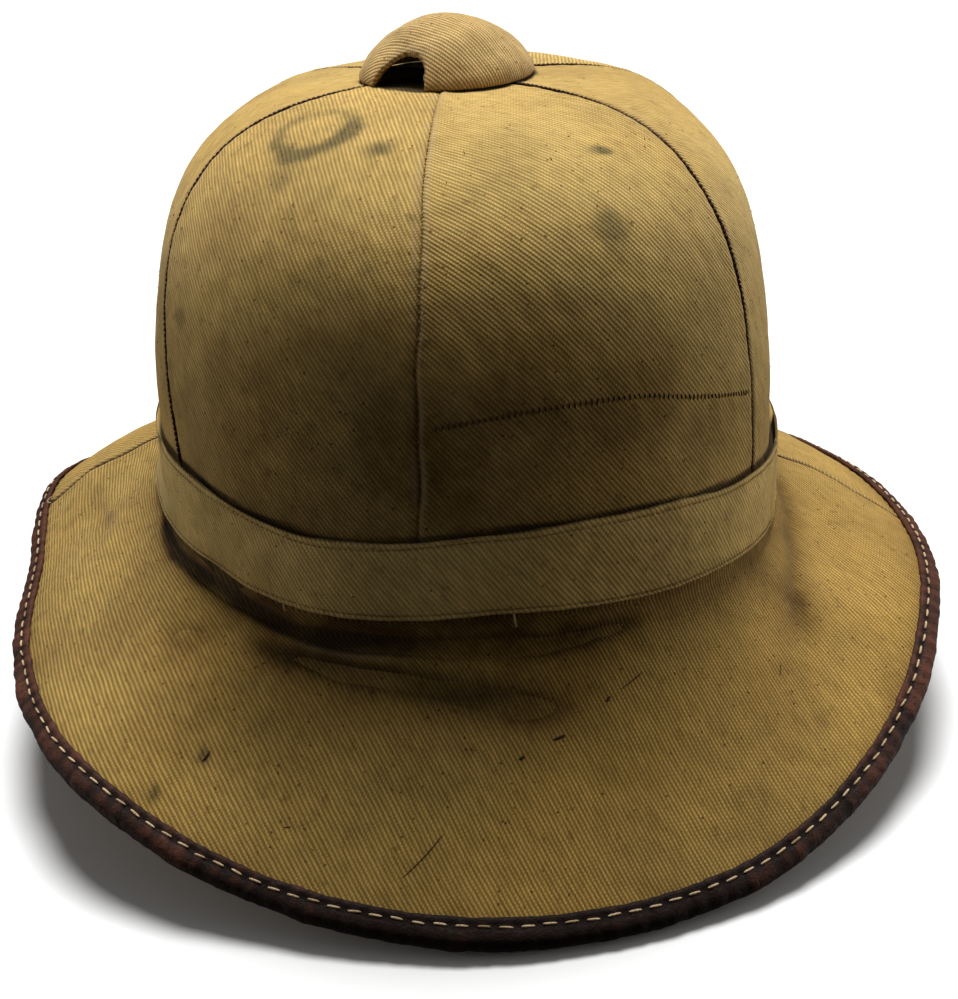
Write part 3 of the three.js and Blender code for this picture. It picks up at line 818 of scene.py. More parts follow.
def crown_azimuth(number, share, z):
    """Azimuth of a share of a gore, at a height. Its seams sway a little on the way up."""
    start = SEAMS[GORE_NAMES[number]]
    end = SEAMS[GORE_NAMES[(number + 1) % len(GORE_NAMES)]]
    at_band = start[0] + ((end[0] - start[0]) % TURN) * share
    lean = (1 - share) * (start[1] - start[0]) + share * (end[1] - end[0])
    band_top = rim("top", at_band)
    climb = np.clip((z - band_top) / (CROWN_TOP - band_top), 0, 1)
    sway = (1 - share) * seam_sway(number, z) + share * seam_sway(number + 1, z)
    return at_band + lean * climb + sway


def seam_sway(number, z):
    phase = (number % len(GORE_NAMES)) * 1.9
    return 0.16 * np.sin(z / 7.5 + phase) + 0.1 * np.sin(z / 3.1 + 2 * phase)


def spread_heights(rows, low):
    """Heights down the crown's curve, evenly spaced along it, from the cap's hole to low."""
    angle = np.linspace(0.5 * math.pi, 0.0, 2000)
    z = CROWN_BASE_HEIGHT + CROWN_RISE * np.sin(angle) ** (2 / CROWN_RISE_POWER)
    r = CROWN_HALF_WIDTH * 1.1 * np.cos(angle) ** (2 / CROWN_SHOULDER_POWER)
    length = np.concatenate([[0], np.cumsum(np.hypot(np.diff(r), np.diff(z)))])
    keep = (r >= GORE_HOLE) & (z >= 74)
    even = np.interp(np.linspace(length[keep][0], length[keep][-1], rows), length, z)
    top = height_at_radius(GORE_HOLE)
    share = (top - even) / (top - even[-1])
    return top - np.clip(share, 0, 1)[None, :] * (top - np.asarray(low)[:, None])


def eased(count, pull):
    """Shares from 0 to 1, closer together near both ends."""
    t = np.linspace(0, 1, count)
    return t - pull * np.sin(2 * math.pi * t) / (2 * math.pi)


# Soft stains of the crown: azimuth, height, half width, half length, strength.
CROWN_STAINS = (
    (-118, 178.3, 4.5, 6, 0.4),
    (-129, 172.4, 5, 5, 0.4),
    (-126.5, 169, 4, 4.4, 0.6),
    (-108, 176, 4.4, 4.4, 0.85),
    (-61.5, 172.8, 3.8, 2.6, 0.8),
    (-59.5, 172.2, 2.2, 1.6, 0.5),
    (-67.5, 158.5, 5.8, 7, 0.72),
    (-60, 164, 9, 7, 0.14),
    (-112.5, 155, 4, 3, 0.5),
    (-105.5, 153.5, 3.6, 2.8, 0.45),
    (-143, 133.5, 5, 3.4, 0.55),
    (-118, 128, 7, 4, 0.25),
    (-75, 137, 10, 6, 0.16),
    (-66, 104, 7, 5, 0.3),
)

# The ring stain, whose long side runs down and round: azimuth, height, half length, half width,
# thickness as a share, and strength.
RING_STAIN = (-130.5, 177.8, 13.5, 9.5, 0.3, 0.85)


def crown_stain(points):
    """Strength of the crown's soft round stains at these points."""
    total = 0
    for azimuth, z, wide, tall, strength in CROWN_STAINS:
        at, _, round_way, down = crown_frame(azimuth, z)
        x, y = (points - at) @ round_way, (points - at) @ down
        total = total + strength * np.exp(-((x / wide) ** 2 + (y / tall) ** 2) ** 1.3)
    azimuth, z, length, width, thickness, strength = RING_STAIN
    at, normal, round_way, down = crown_frame(azimuth, z)
    x = (points - at) @ (round_way + down) / math.sqrt(2) / length
    y = (points - at) @ (down - round_way) / math.sqrt(2) / width
    out = np.hypot(x, y)
    one_side = 0.8 + 0.2 * x / np.maximum(out, 0.3)
    ring = bell(out - 1, thickness) + 0.3 * bell(out, 0.9)
    near = np.abs((points - at) @ normal) < 20
    return np.clip(total + strength * ring * one_side * near, 0, 1)


# Depths of the grooves at the crown's seams. The rear seam is lapped and lies almost flat.
SEAM_DEPTH = 0.8
REAR_SEAM_DEPTH = 0.25


def gore_weave(azimuth, z, centre, length):
    """Weave of a gore, laid out flat round its middle line. length runs down the crown's curve."""
    radius = wall_radius(azimuth, z)
    slope = np.arctan2(-np.gradient(radius, axis=1), -np.gradient(z, axis=1))
    lie = np.maximum(np.sin(np.abs(slope)), 1e-3)
    apex = radius / lie
    swing = np.radians(azimuth - centre) * lie
    return weave_of(apex * np.sin(swing), length - apex * (1 - np.cos(swing)), GORE_RIB_ANGLE)


def gore_forms(number, from_start, to_end, length, uneven):
    """How far a gore's cloth stands out, and how deep the grooves at its two seams are."""
    name = GORE_NAMES[number]
    first_depth = REAR_SEAM_DEPTH if name == "rear_right" else SEAM_DEPTH
    last_depth = REAR_SEAM_DEPTH if name == "rear_left" else SEAM_DEPTH
    groove = first_depth * bell(from_start, 0.5) + last_depth * bell(to_end, 0.5)
    to_seam = np.minimum(from_start, to_end)
    swell = 0.28 * bell(to_seam - 2.1, 1.4) * (first_depth + last_depth) / 2 / SEAM_DEPTH
    pucker = 0.08 * np.sin(length / 0.74 + number) * np.exp(-to_seam / 3.0)
    lap = 0.0
    if name == "rear_right":
        lap = 0.22 * bell(np.maximum(from_start - 1.6, 0), 0.35)
    return swell - groove + pucker + uneven + lap, groove


def build_gore(number):
    name = GORE_NAMES[number]
    share = eased(GORE_COLUMNS, 0.82)
    start = SEAMS[name][0]
    span = (SEAMS[GORE_NAMES[(number + 1) % len(GORE_NAMES)]][0] - start) % TURN
    low = rim("foot", start + span * share) + BAND_LAP
    z = spread_heights(GORE_ROWS, low)
    azimuth = crown_azimuth(number, share[:, None], z)
    radius = wall_radius(azimuth, z)
    base = in_plan(azimuth, radius, z)
    length = running_length(base)
    width = np.radians(span) * radius
    from_start = share[:, None] * width
    to_end = (1 - share[:, None]) * width
    to_seam = np.minimum(from_start, to_end)
    above_low = z - low[:, None]
    uneven = unevenness(base, CROWN_UNEVEN) * np.clip(above_low / 14, 0.0, 1.0)
    offset, groove = gore_forms(number, from_start, to_end, length, uneven)
    outer = lifted(base, offset)
    inner = lifted(base, -CLOTH_WALL)[:, np.linspace(0, GORE_ROWS - 1, BACK_ROWS).astype(int)]

    # Painted shade and soil: darker low on the crown, most on the side away from the lamp.
    low_shade_and_soil = 0.74 * bell(np.maximum(above_low - 38, 0), 36)
    low_shade_and_soil = low_shade_and_soil * (0.06 + 0.94 * bell(turn_from(azimuth, CROWN_SHADE_AND_SOIL[0]), CROWN_SHADE_AND_SOIL[1]))
    seam_soil = 0.7 * groove / SEAM_DEPTH + 0.15 * bell(to_seam, 1.6)
    # Painted shade: soil and stain darken the cloth just above the band's top and under the cap.
    hidden = bell(np.maximum(z - rim("top", azimuth), 0), 0.6)
    hidden = np.maximum(hidden, np.clip((CAP_RADIUS + 0.6 - radius) / 0.8, 0, 1))
    soil = low_shade_and_soil + seam_soil + hidden + 0.14 * np.clip(ripple(base, 30, 13), 0, 1)
    wear = 0.25 * bell(to_seam - 1.3, 0.7) * np.clip(ripple(base, 22, 14) + 0.3, 0, 1)
    if name == "rear_right":
        wear = wear + 0.3 * bell(from_start - 0.9, 0.5)
    weave = gore_weave(azimuth, z, start + span / 2, length)
    stain = np.maximum(crown_stain(base), hidden)
    fields = {"weave": weave, "soil": np.clip(soil, 0, 1), "stain": stain,
              "wear": np.clip(wear, 0, 1) * (1 - hidden)}
    add_wall(f"gore_cloth_{name}", outer, inner, False, crown_twill, "crown_cloth",
             [f"crown_gore_{name}"], fields)


def crown_frame(azimuth, z):
    """Point, normal, direction round and direction down of the crown's skin."""
    nudge = 0.2
    at = in_plan(azimuth, wall_radius(azimuth, z), z)
    round_way = in_plan(azimuth + nudge, wall_radius(azimuth + nudge, z), z) - at
    down = in_plan(azimuth, wall_radius(azimuth, z - nudge), z - nudge) - at
    normal = np.cross(down, round_way)
    unit = [v / np.linalg.norm(v, axis=-1, keepdims=True) for v in (normal, round_way, down)]
    return (at, *unit)


def seam_points(number, pitch):
    """Evenly spaced places down one seam of the crown: azimuth and height."""
    z = spread_heights(900, np.array([rim("top", SEAMS[GORE_NAMES[number]][0])]))[0]
    azimuth = crown_azimuth(number, 0.0, z)
    length = running_length(in_plan(azimuth, wall_radius(azimuth, z), z))
    spots = np.arange(12, length[-1] + 1.0, pitch)
    return np.interp(spots, length, azimuth), np.interp(spots, length, z)


# Beads of thread in the seams: pitch, how deep they lie, length and thickness.
SEAM_BEADS = {"dark": (1.5, 0.1, 1.6, 0.5), "tan": (2.1, 0.12, 0.8, 0.2)}


def build_crown_stitches():
    """Thread beads in the seams."""
    rng = np.random.default_rng(5)
    sets = {"dark": [], "tan": []}
    for number, name in enumerate(GORE_NAMES):
        kind = "tan" if name == "rear_right" else "dark"
        pitch, sunk = SEAM_BEADS[kind][:2]
        azimuth, z = seam_points(number, pitch)
        at, normal, _, _ = crown_frame(azimuth, z)
        sets[kind].append((at - sunk * normal, np.gradient(at, axis=0), normal))
    for kind, material in (("dark", dark_thread), ("tan", khaki_thread)):
        at, along, normal = (np.concatenate(part) for part in zip(*sets[kind]))
        _, _, size, radius = SEAM_BEADS[kind]
        along = along + rng.normal(scale=0.14, size=along.shape)
        length = rng.uniform(0.85, 1.1, len(at)) * size
        add_threads(f"seam_stitches_{kind}", at, along, normal, length, radius, 0.1, material,
                    "crown_cloth", sides=6, rings=4)


# The mended line: azimuth and height of its points, its dashes' pitch, height and thickness.
MEND_LINE = ((-96.5, 117), (-88, 119), (-80, 120), (-68.5, 119), (-58, 114), (-44, 107))
MEND_PITCH = 1.5
MEND_LENGTH = 1.7
MEND_RADIUS = 0.2


def smooth_line(points, count):
    """Evenly spaced shares of a smooth curve through a few points."""
    points = np.array(points, float)
    knots = np.arange(len(points))
    t = np.linspace(0, len(points) - 1, count)
    i = np.clip(np.floor(t).astype(int), 0, len(points) - 2)
    f = (t - i)[:, None]
    slopes = np.gradient(points, knots, axis=0)
    a, b, da, db = points[i], points[i + 1], slopes[i], slopes[i + 1]
    return ((2 * f ** 3 - 3 * f ** 2 + 1) * a + (f ** 3 - 2 * f ** 2 + f) * da
            + (3 * f ** 2 - 2 * f ** 3) * b + (f ** 3 - f ** 2) * db)


def build_mend_line():
    rng = np.random.default_rng(8)
    line = smooth_line(MEND_LINE, 400)
    length = running_length(in_plan(line[:, 0], wall_radius(line[:, 0], line[:, 1]), line[:, 1]))
    spots = np.arange(1, length[-1], MEND_PITCH) + rng.uniform(-0.15, 0.15)
    azimuth, z = (np.interp(spots, length, column) for column in line.T)
    at, normal, round_way, down = crown_frame(azimuth, z)
    swing = rng.normal(scale=0.16, size=(len(spots), 1))
    at = at + (unevenness(at, CROWN_UNEVEN) - 0.02)[:, None] * normal
    add_threads("mend_dashes", at, down + swing * round_way, normal,
                rng.uniform(0.7, 1.15, len(spots)) * MEND_LENGTH, MEND_RADIUS, 0.12,
                dark_thread, "crown_cloth", sides=6, rings=4)


# Marks of the brim: azimuth, share, half widths round and outward, strength.
BRIM_STAINS = (
    (-124, 0.7, 1.7, 3, 1),
    (-127, 0.9, 2, 3.4, 0.9),
    (-120, 0.71, 1.2, 1.4, 0.6),
    (-105, 0.62, 5, 3, 0.2),
    (-133, 0.55, 4, 3, 0.2),
    (-91.5, 0.6, 2.6, 2, 0.35),
    (-88.5, 0.54, 2.2, 1.6, 0.35),
    (-49, 0.63, 4, 3, 0.35),
    (-50.5, 0.77, 2.4, 4.6, 0.35),
    (-70, 0.67, 5, 2.4, 0.3),
    (-189, 0.8, 3, 3, 0.35),
    (-140, 0.35, 6, 4, 0.2),
    (-62, 0.3, 8, 5, 0.16),
)


def cover_azimuth(along, share, first, last):
    """Azimuth at a share along a brim cover, whose end seams slant and sway on the way out."""
    at_band = first[0] + ((last[0] - first[0]) % TURN) * along
    slant = (1 - along) * turn_from(first[1], first[0]) + along * turn_from(last[1], last[0])
    out = np.clip(share, 0, 1)
    end_pull = (1 - along) ** 24 + along ** 24
    sway = 0.5 * np.sin(out * 15 + 1) * end_pull
    return at_band + slant * out + sway


def brim_weave(azimuth, share, middle):
    """Weave of a brim cover, laid out flat as part of a cone."""
    foot = wall_radius(azimuth, rim("foot", azimuth) - BRIM_START_DROP)
    out = foot / BRIM_CONE + share * brim_run(azimuth) * 1.05
    swing = np.radians(turn_from(azimuth, middle)) * BRIM_CONE
    return weave_of(out * np.sin(swing), out * np.cos(swing), BRIM_RIB_ANGLE)


def edge_share(azimuth, past):
    return 1 + past / brim_run(azimuth)


def brim_offset(azimuth, share, base):
    """Small forms of the brim's cloth that the solid leaves out."""
    run = brim_run(azimuth)
    to_stitches = np.maximum((1 - share) * run, 0)
    pucker = 0.16 * np.sin(stitch_phase(azimuth)) * np.exp(-np.maximum(to_stitches - 1.5, 0) / 3.5)
    fade = np.clip(to_stitches / 12, 0, 1) * np.clip(share * 12, 0, 1)
    return crease_depth(azimuth, share) * fade + unevenness(base, BRIM_UNEVEN) * fade + pucker


def stitch_line():
    """Azimuths and lengths along the brim's stitch line, and the number of its stitches."""
    azimuth = np.linspace(-180, 180, 4001)
    length = running_length(brim_skin(azimuth, 1.0))
    return azimuth, length, round(length[-1] / EDGE_STITCH_PITCH)


# The stitch line is worked out once, because the brim, the binding and the stitches all follow it.
LINE_AZIMUTH, LINE_LENGTH, EDGE_STITCH_COUNT = stitch_line()


def stitch_phase(azimuth):
    length = np.interp(turn_from(azimuth, 0), LINE_AZIMUTH, LINE_LENGTH)
    return 2 * math.pi * EDGE_STITCH_COUNT * length / LINE_LENGTH[-1]


def brim_stain(azimuth, share):
    """Strength of the brim's marks, each of them an oval with a fairly sharp edge."""
    x, y = brim_map(azimuth, share)
    stain = 0
    for centre, middle_share, wide, tall, strength in BRIM_STAINS:
        cx, cy = brim_map(centre, middle_share)
        stain = stain + strength * np.exp(-(((x - cx) / wide) ** 2 + ((y - cy) / tall) ** 2) ** 1.4)
    return stain


def build_cover(name, first, last, middle):
    span = (last[0] - first[0]) % TURN
    columns = round(math.radians(span) * BRIM_MAP_RADIUS / COVER_STEP)
    along = eased(columns, 0.6)[:, None]
    rows = np.linspace(0, 1, COVER_ROWS)[None, :]
    rough_azimuth = cover_azimuth(along, 1.0, first, last)
    share = rows * edge_share(rough_azimuth, EDGE_PAST_STITCHES)
    azimuth = cover_azimuth(along, share, first, last)
    base = brim_skin(azimuth, share)
    lap_z = rim("foot", azimuth[:, :1]) + COVER_LAP
    lap = in_plan(azimuth[:, :1], wall_radius(azimuth[:, :1], lap_z), lap_z)
    base = np.concatenate([lap, base], axis=1)
    azimuth = np.concatenate([azimuth[:, :1], azimuth], axis=1)
    share = np.concatenate([np.zeros_like(share[:, :1]), share], axis=1)

    width = np.radians(span) * np.linalg.norm(base[..., :2], axis=-1)
    to_seam = np.minimum(along, 1 - along) * width
    seam = 0.32 * bell(to_seam - 2, 1.4) - 0.9 * bell(to_seam, 0.6)
    offset = seam + brim_offset(azimuth, share, base)
    offset[:, :2] = 0
    outer = lifted(base, offset)
    inner = lifted(base, -CLOTH_WALL)[:, np.linspace(0, COVER_ROWS, BACK_ROWS).astype(int)]

    run = brim_run(azimuth)
    to_stitches = np.maximum((1 - share) * run, 0)
    near_side = bell(turn_from(azimuth, BRIM_SHADE_AND_SOIL[0]), BRIM_SHADE_AND_SOIL[1])
    # Painted shade and soil just below the band, strongest on the side away from the lamp.
    soil = (0.3 + 0.4 * near_side) * bell(share * run, 12) + 0.3 * np.exp(-to_stitches / 3)
    soil = soil + 0.2 * np.clip(ripple(base, 38, 23), 0, 1) + 0.5 * bell(to_seam, 0.8)
    # Painted shade in the creases, mostly the dark wedge below the band, goes into both soil and stain.
    shade = crease_shade(azimuth, share)
    soil = soil + shade + 0.12 * near_side + 0.6 * bell(to_seam, 0.7)
    stain = brim_stain(azimuth, share) + shade ** 1.5 + 0.8 * bell(to_seam, 0.7)
    wear = 0.2 * np.clip(crease_depth(azimuth, share), 0, 1) + 0.15 * bell(to_seam - 1.3, 0.7)
    weave = brim_weave(azimuth, share, middle)
    fields = {"weave": weave, "soil": np.clip(soil, 0, 1), "stain": np.clip(stain, 0, 1),
              "wear": np.clip(wear, 0, 1)}
    add_wall(f"brim_cloth_{name}", outer, inner, False, brim_twill, "brim_cloth",
             [f"brim_cover_{name}"], fields)


def brim_frame(azimuth, share):
    """Point, normal, direction round and direction out of the brim's skin."""
    nudge = 0.15
    at = brim_skin(azimuth, share)
    round_way = brim_skin(azimuth + nudge, share) - brim_skin(azimuth - nudge, share)
    out = brim_skin(azimuth, share + 0.004) - brim_skin(azimuth, share - 0.004)
    normal = np.cross(out, round_way)
    unit = [v / np.linalg.norm(v, axis=-1, keepdims=True) for v in (normal, round_way, out)]
    return (at, *unit)


def build_brim_seam_stitches():
    """Dark thread beads in the brim's two side seams."""
    sets = []
    for first, last in ((BRIM_SEAM_LEFT, BRIM_SEAM_RIGHT), (BRIM_SEAM_RIGHT, BRIM_SEAM_LEFT)):
        share = np.linspace(0.02, 0.97, 36)
        azimuth = cover_azimuth(0.0, share, first, last)
        at, normal, _, out = brim_frame(azimuth, share)
        sets.append((at - 0.3 * normal, out, normal))
    at, along, normal = (np.concatenate(part) for part in zip(*sets))
    add_threads("brim_seam_stitches", at, along, normal, 1.5, 0.3, 0.1, dark_thread, "brim_cloth",
                sides=6, rings=4)


# The band's stitch lines, below its top and above its foot, the gap that its top leaves at the crown,
# and the height that the rows of its face are spaced for.
BAND_TUCK = 1.9
BAND_HEM = 1.3
BAND_GAPE = 0.95
BAND_FACE = 23


def band_stand_off(azimuth):
    """How far the band's top stands off the crown, more where it gapes at the sides."""
    return 0.9 * bell(turn_from(azimuth, -8), 15) + 0.5 * bell(turn_from(azimuth, 192), 12)


def build_band():
    azimuth = np.linspace(-180, 180, BAND_COLUMNS, endpoint=False)[:, None]
    top, foot = rim("top", azimuth), rim("foot", azimuth)
    top = top + 0.25 * np.sin(np.radians(azimuth) * 9) + 0.15 * np.sin(np.radians(azimuth) * 23 + 1)
    foot = foot + 0.2 * np.sin(np.radians(azimuth) * 13 + 2)
    height = top - foot
    round_top = np.array([(1.0, -0.9), (1.04, -0.25), (1.14, -0.03), (1.32, -0.06), (1.5, -0.35)])
    rows = np.concatenate([np.linspace(0.9, 3.0, 8), np.linspace(3.5, 20, 22), np.linspace(20.4, 22.6, 9)])
    depth = (rows / BAND_FACE)[None, :] * height
    hem_up = height - depth
    face = BAND_WALL - 0.22 * bell(depth - BAND_TUCK, 0.3)
    face = face + 0.3 * np.sin(np.pi * np.clip((depth - 3) / (height - 5), 0, 1))
    face = face - 0.2 * bell(hem_up - BAND_HEM, 0.25) + 0.08 * bell(hem_up - 0.6, 0.5)
    fold = np.tile(round_top[:, 0], (BAND_COLUMNS, 1))
    outer_z = np.concatenate([top + round_top[None, :, 1], top - depth, foot - 0.02], axis=1)
    outer_d = np.concatenate([fold, face, np.full_like(top, 1.35)], axis=1)
    stand = band_stand_off(azimuth) * np.clip((outer_z - foot) / height, 0, 1) ** 2
    flare = 0.5 * rim("flare", azimuth) * np.clip((foot + BAND_LAP - outer_z) / BAND_LAP, 0, 1)
    radius = wall_radius(azimuth, outer_z) + GAP + outer_d + stand + flare
    base = in_plan(azimuth, radius, outer_z)
    pucker = 0.07 * np.sin(np.radians(azimuth) * 260) * bell(np.minimum(outer_z - foot, 4) - 1, 2)
    outer = lifted(base, unevenness(base, BAND_UNEVEN) + pucker, closed=True)
    inner_z = foot + np.linspace(1, 0.02, 6)[None, :] * (height - 0.5)
    inner_low = np.clip((foot + BAND_LAP - inner_z) / BAND_LAP, 0, 1)
    inner_r = wall_radius(azimuth, inner_z) + GAP + 0.1 * rim("flare", azimuth) * inner_low
    inner_r = inner_r + band_stand_off(azimuth) * np.clip((inner_z - foot) / height, 0, 1) ** 2
    inner_r = inner_r + BAND_GAPE * np.clip((inner_z - top + 8) / 7, 0, 1)
    inner = in_plan(azimuth, inner_r, inner_z)

    weave = weave_of(np.radians(azimuth) * 100, top - outer_z, BAND_RIB_ANGLE)
    soil = 0.1 + 0.2 * bell(outer_z - foot, 4) + 0.15 * np.clip(ripple(base, 26, 33), 0, 1)
    soil = soil + 0.3 * bell(top - outer_z - BAND_TUCK, 0.4)
    soil = soil + 0.5 * bell(outer_z - foot - BAND_HEM, 0.35)
    # Painted shade: the band's rounded top edge is darkened through soil and stain, for the shade of the
    # gap above it.
    edge = bell(top - outer_z, 0.34)
    fields = {"weave": weave, "soil": np.clip(soil + edge, 0, 1), "stain": 0.8 * edge,
              "wear": 0.12 * bell(outer_z - foot, 0.6)}
    add_wall("folded_band", outer, inner, True, band_twill, "band_cloth", ["cloth_band"], fields)


def build_band_stitches():
    """Small running stitches along the band's tuck and hem."""
    rng = np.random.default_rng(17)
    parts = []
    for up_from_foot, edge in ((BAND_HEM, "foot"), (-BAND_TUCK, "top")):
        azimuth = np.linspace(-180, 180, BAND_STITCHES, endpoint=False)
        z = rim(edge, azimuth) + up_from_foot
        low = np.clip((rim("foot", azimuth) + BAND_LAP - z) / BAND_LAP, 0, 1)
        share = np.clip((z - rim("foot", azimuth)) / (rim("top", azimuth) - rim("foot", azimuth)), 0, 1)
        stand = band_stand_off(azimuth) * share ** 2 + 0.5 * rim("flare", azimuth) * low
        radius = wall_radius(azimuth, z) + GAP + 1.42 + stand
        at = in_plan(azimuth, radius, z)
        at = at + in_plan(azimuth, unevenness(at, BAND_UNEVEN), 0)
        parts.append((at, np.roll(at, -1, 0) - at, in_plan(azimuth, 1.0, 0.0)))
    at, along, normal = (np.concatenate(part) for part in zip(*parts))
    along = along + rng.normal(scale=0.1, size=along.shape)
    add_threads("band_stitches", at, along, normal, rng.uniform(0.9, 1.2, len(at)), 0.14, 0.06,
                khaki_thread, "band_cloth", sides=6, rings=4)


def binding_profile():
    """Closed section of the binding: out past the stitches and up from the cloth."""
    top = GAP + BINDING_WALL
    side = EDGE_PAST_STITCHES + GAP + BINDING_WALL
    under = -(CLOTH_WALL + GAP) - BRIM_CORK - 2 * GAP
    bottom = under - BINDING_WALL
    lip = -BINDING_LAP
    shown = smooth_line((
        (lip + 0.1, GAP + 0.05), (lip - 0.1, GAP + 0.55), (lip + 0.45, top - 0.05), (0, top + 0.15),
        (side - 2.2, top + 0.1), (side - 0.9, top - 0.6), (side - 0.15, top - 2), (side, under / 2),
        (side - 0.25, bottom + 1.7), (side - 1.1, bottom + 0.45), (side - 2.2, bottom),
        (0, bottom - 0.1), (lip + 0.4, bottom + 0.1), (lip, under - 0.5), (lip + 0.1, under)), 38)
    hidden = np.array([(side - BINDING_WALL, under), (side - BINDING_WALL, GAP)])
    return shown, hidden


def binding_base(azimuth):
    """Point of the stitch line, direction out to the brim's edge, and the edge's normal."""
    stitch = brim_skin(azimuth, 1.0)
    edge, normal, _, _ = brim_frame(azimuth, edge_share(azimuth, EDGE_PAST_STITCHES))
    along = edge - stitch
    along /= np.linalg.norm(along, axis=-1, keepdims=True)
    return stitch, along, normal


def binding_puff(azimuth, out, up):
    """How far the leather bulges: it is pulled in at the stitches and puckers between them."""
    phase = stitch_phase(azimuth)
    between = 0.5 - 0.5 * np.cos(phase)
    on_top = 1 / (1 + np.exp(-(up + 0.6) * 4))
    line = bell(out, 0.85) * on_top
    puff = 0.34 * (between - 0.4) * bell(out - 1.2, 3.2) * on_top
    groove = -0.34 * line
    hole = -0.22 * (1 - between) ** 2 * bell(out, 0.8) * on_top
    return puff + groove + hole


def build_binding():
    shown, hidden = binding_profile()
    azimuth = np.linspace(-180, 180, BINDING_COLUMNS, endpoint=False)
    stitch, along, normal = binding_base(azimuth)
    stitch, along, normal = stitch[:, None], along[:, None], normal[:, None]
    out, up = shown[None, :, :1], shown[None, :, 1:]
    base = stitch + along * out + normal * up
    tangent = np.gradient(shown, axis=0)
    face = np.stack([-tangent[:, 1], tangent[:, 0]], -1)
    face /= np.linalg.norm(face, axis=1, keepdims=True)
    face *= np.sign(face[3, 1])
    outward = along * face[None, :, :1] + normal * face[None, :, 1:]
    length = np.interp(azimuth, LINE_AZIMUTH, LINE_LENGTH)[:, None]
    round_way = np.stack(np.broadcast_arrays(length, out[..., 0] * 0.32, up[..., 0] * 0.32), -1)
    loose = np.clip((np.abs(out[..., 0]) + 0.4) / 3, 0.15, 1)
    puff = binding_puff(azimuth[:, None], out[..., 0], up[..., 0])
    wrinkle = unevenness(round_way, LEATHER_UNEVEN) * loose
    sag = 0.24 * ripple(round_way, 24, 43) * np.clip(out[..., 0] / 4, 0, 1)
    offset = puff + wrinkle + sag
    outer = base + outward * offset[..., None]
    outer[..., 2] = np.maximum(outer[..., 2], 0.0)
    inner = stitch + along * hidden[None, :, :1] + normal * hidden[None, :, 1:]
    inner[..., 2] = np.maximum(inner[..., 2], PRESSED_WALL)
    # The wear field is partly rubbing and partly painted highlight: red-brown on the puffs and at the left
    # and right sides.
    sides = np.abs(np.cos(np.radians(azimuth)))[:, None]
    wear = 0.12 + 0.5 * sides + 0.6 * np.clip(offset, -0.5, 0.5)
    add_wall("leather_edge", outer, inner[:, ::-1], True, leather, "binding_leather",
             ["edge_binding"], {"wear": np.clip(wear, 0, 1)})


def build_edge_stitches():
    """Cream stitches along the binding, on its upper and lower sides."""
    rng = np.random.default_rng(23)
    count = EDGE_STITCH_COUNT
    spots = (np.arange(count) + 0.5) * LINE_LENGTH[-1] / count
    azimuth = np.interp(spots, LINE_LENGTH, LINE_AZIMUTH)
    stitch, along, normal = binding_base(azimuth)
    _, _, round_way, _ = brim_frame(azimuth, 1.0)
    slip = rng.normal(scale=0.12, size=(count, 1))
    way = round_way + along * rng.normal(scale=0.06, size=(count, 1))
    top = GAP + BINDING_WALL + 0.15 - 0.34 + 0.14
    at = stitch + normal * top + along * slip
    add_threads("edge_stitches_top", at, way, normal, rng.uniform(0.93, 1.05, count) * EDGE_STITCH_LENGTH,
                EDGE_STITCH_RADIUS, 0.14, cream_thread, "binding_leather", sides=8, rings=7)
    bottom = -(CLOTH_WALL + GAP) - BRIM_CORK - 2 * GAP - BINDING_WALL - 0.05
    at = stitch + normal * bottom + along * slip
    keep = at[:, 2] > 0.8
    add_threads("edge_stitches_under", at[keep], way[keep], -normal[keep], EDGE_STITCH_LENGTH,
                EDGE_STITCH_RADIUS, 0.14, cream_thread, "binding_leather", sides=6, rings=5)


def build_cork():
    """The cork body, whose inside and underside show from below."""
    azimuth = np.linspace(-180, 180, CORK_COLUMNS, endpoint=False)[:, None]
    lap = rim("foot", azimuth) + BAND_LAP

    def skin(crown_rows, brim_rows, crown_lift, brim_lift):
        hole = height_at_radius(STUD_HOLE)
        angle = np.linspace(0.5 * math.pi, 0.2, crown_rows + 1)[1:]
        z = CROWN_BASE_HEIGHT + CROWN_RISE * np.sin(angle) ** (2 / CROWN_RISE_POWER)
        share = (CROWN_TOP - z) / (CROWN_TOP - z[-1])
        z = hole - np.concatenate([[0], share])[None, :] * (hole - lap)
        crown = lifted(in_plan(azimuth, wall_radius(azimuth, z), z), crown_lift, closed=True)
        out = np.linspace(0, 1, brim_rows)[None, :] * edge_share(azimuth, CORK_PAST_STITCHES)
        brim = lifted(brim_skin(azimuth, out), brim_lift, closed=True)
        brim[..., 2] = np.maximum(brim[..., 2], PRESSED_WALL + 2 * GAP)
        return np.concatenate([crown, brim], axis=1)

    face = -(CLOTH_WALL + GAP)
    outer = skin(16, 10, face, face)
    inner = skin(46, 30, face - CROWN_CORK, face - BRIM_CORK)
    add_wall("cork_body", outer, inner, True, cork, "cork", ["cork_shell"], {})


def cap_profile(radius, height, rise):
    return radius * (1 - rise ** CAP_CURVE) ** CAP_SHOULDER, rise * height


def notch_height(x):
    """Height of a notch's arch at x from -1 to 1. It slopes on one side and is upright on the other."""
    power = np.where(x < 0, 1.55, 3.4)
    return NOTCH_HEIGHT * np.clip(1 - np.abs(x) ** power, 0, 1) ** (1 / power)


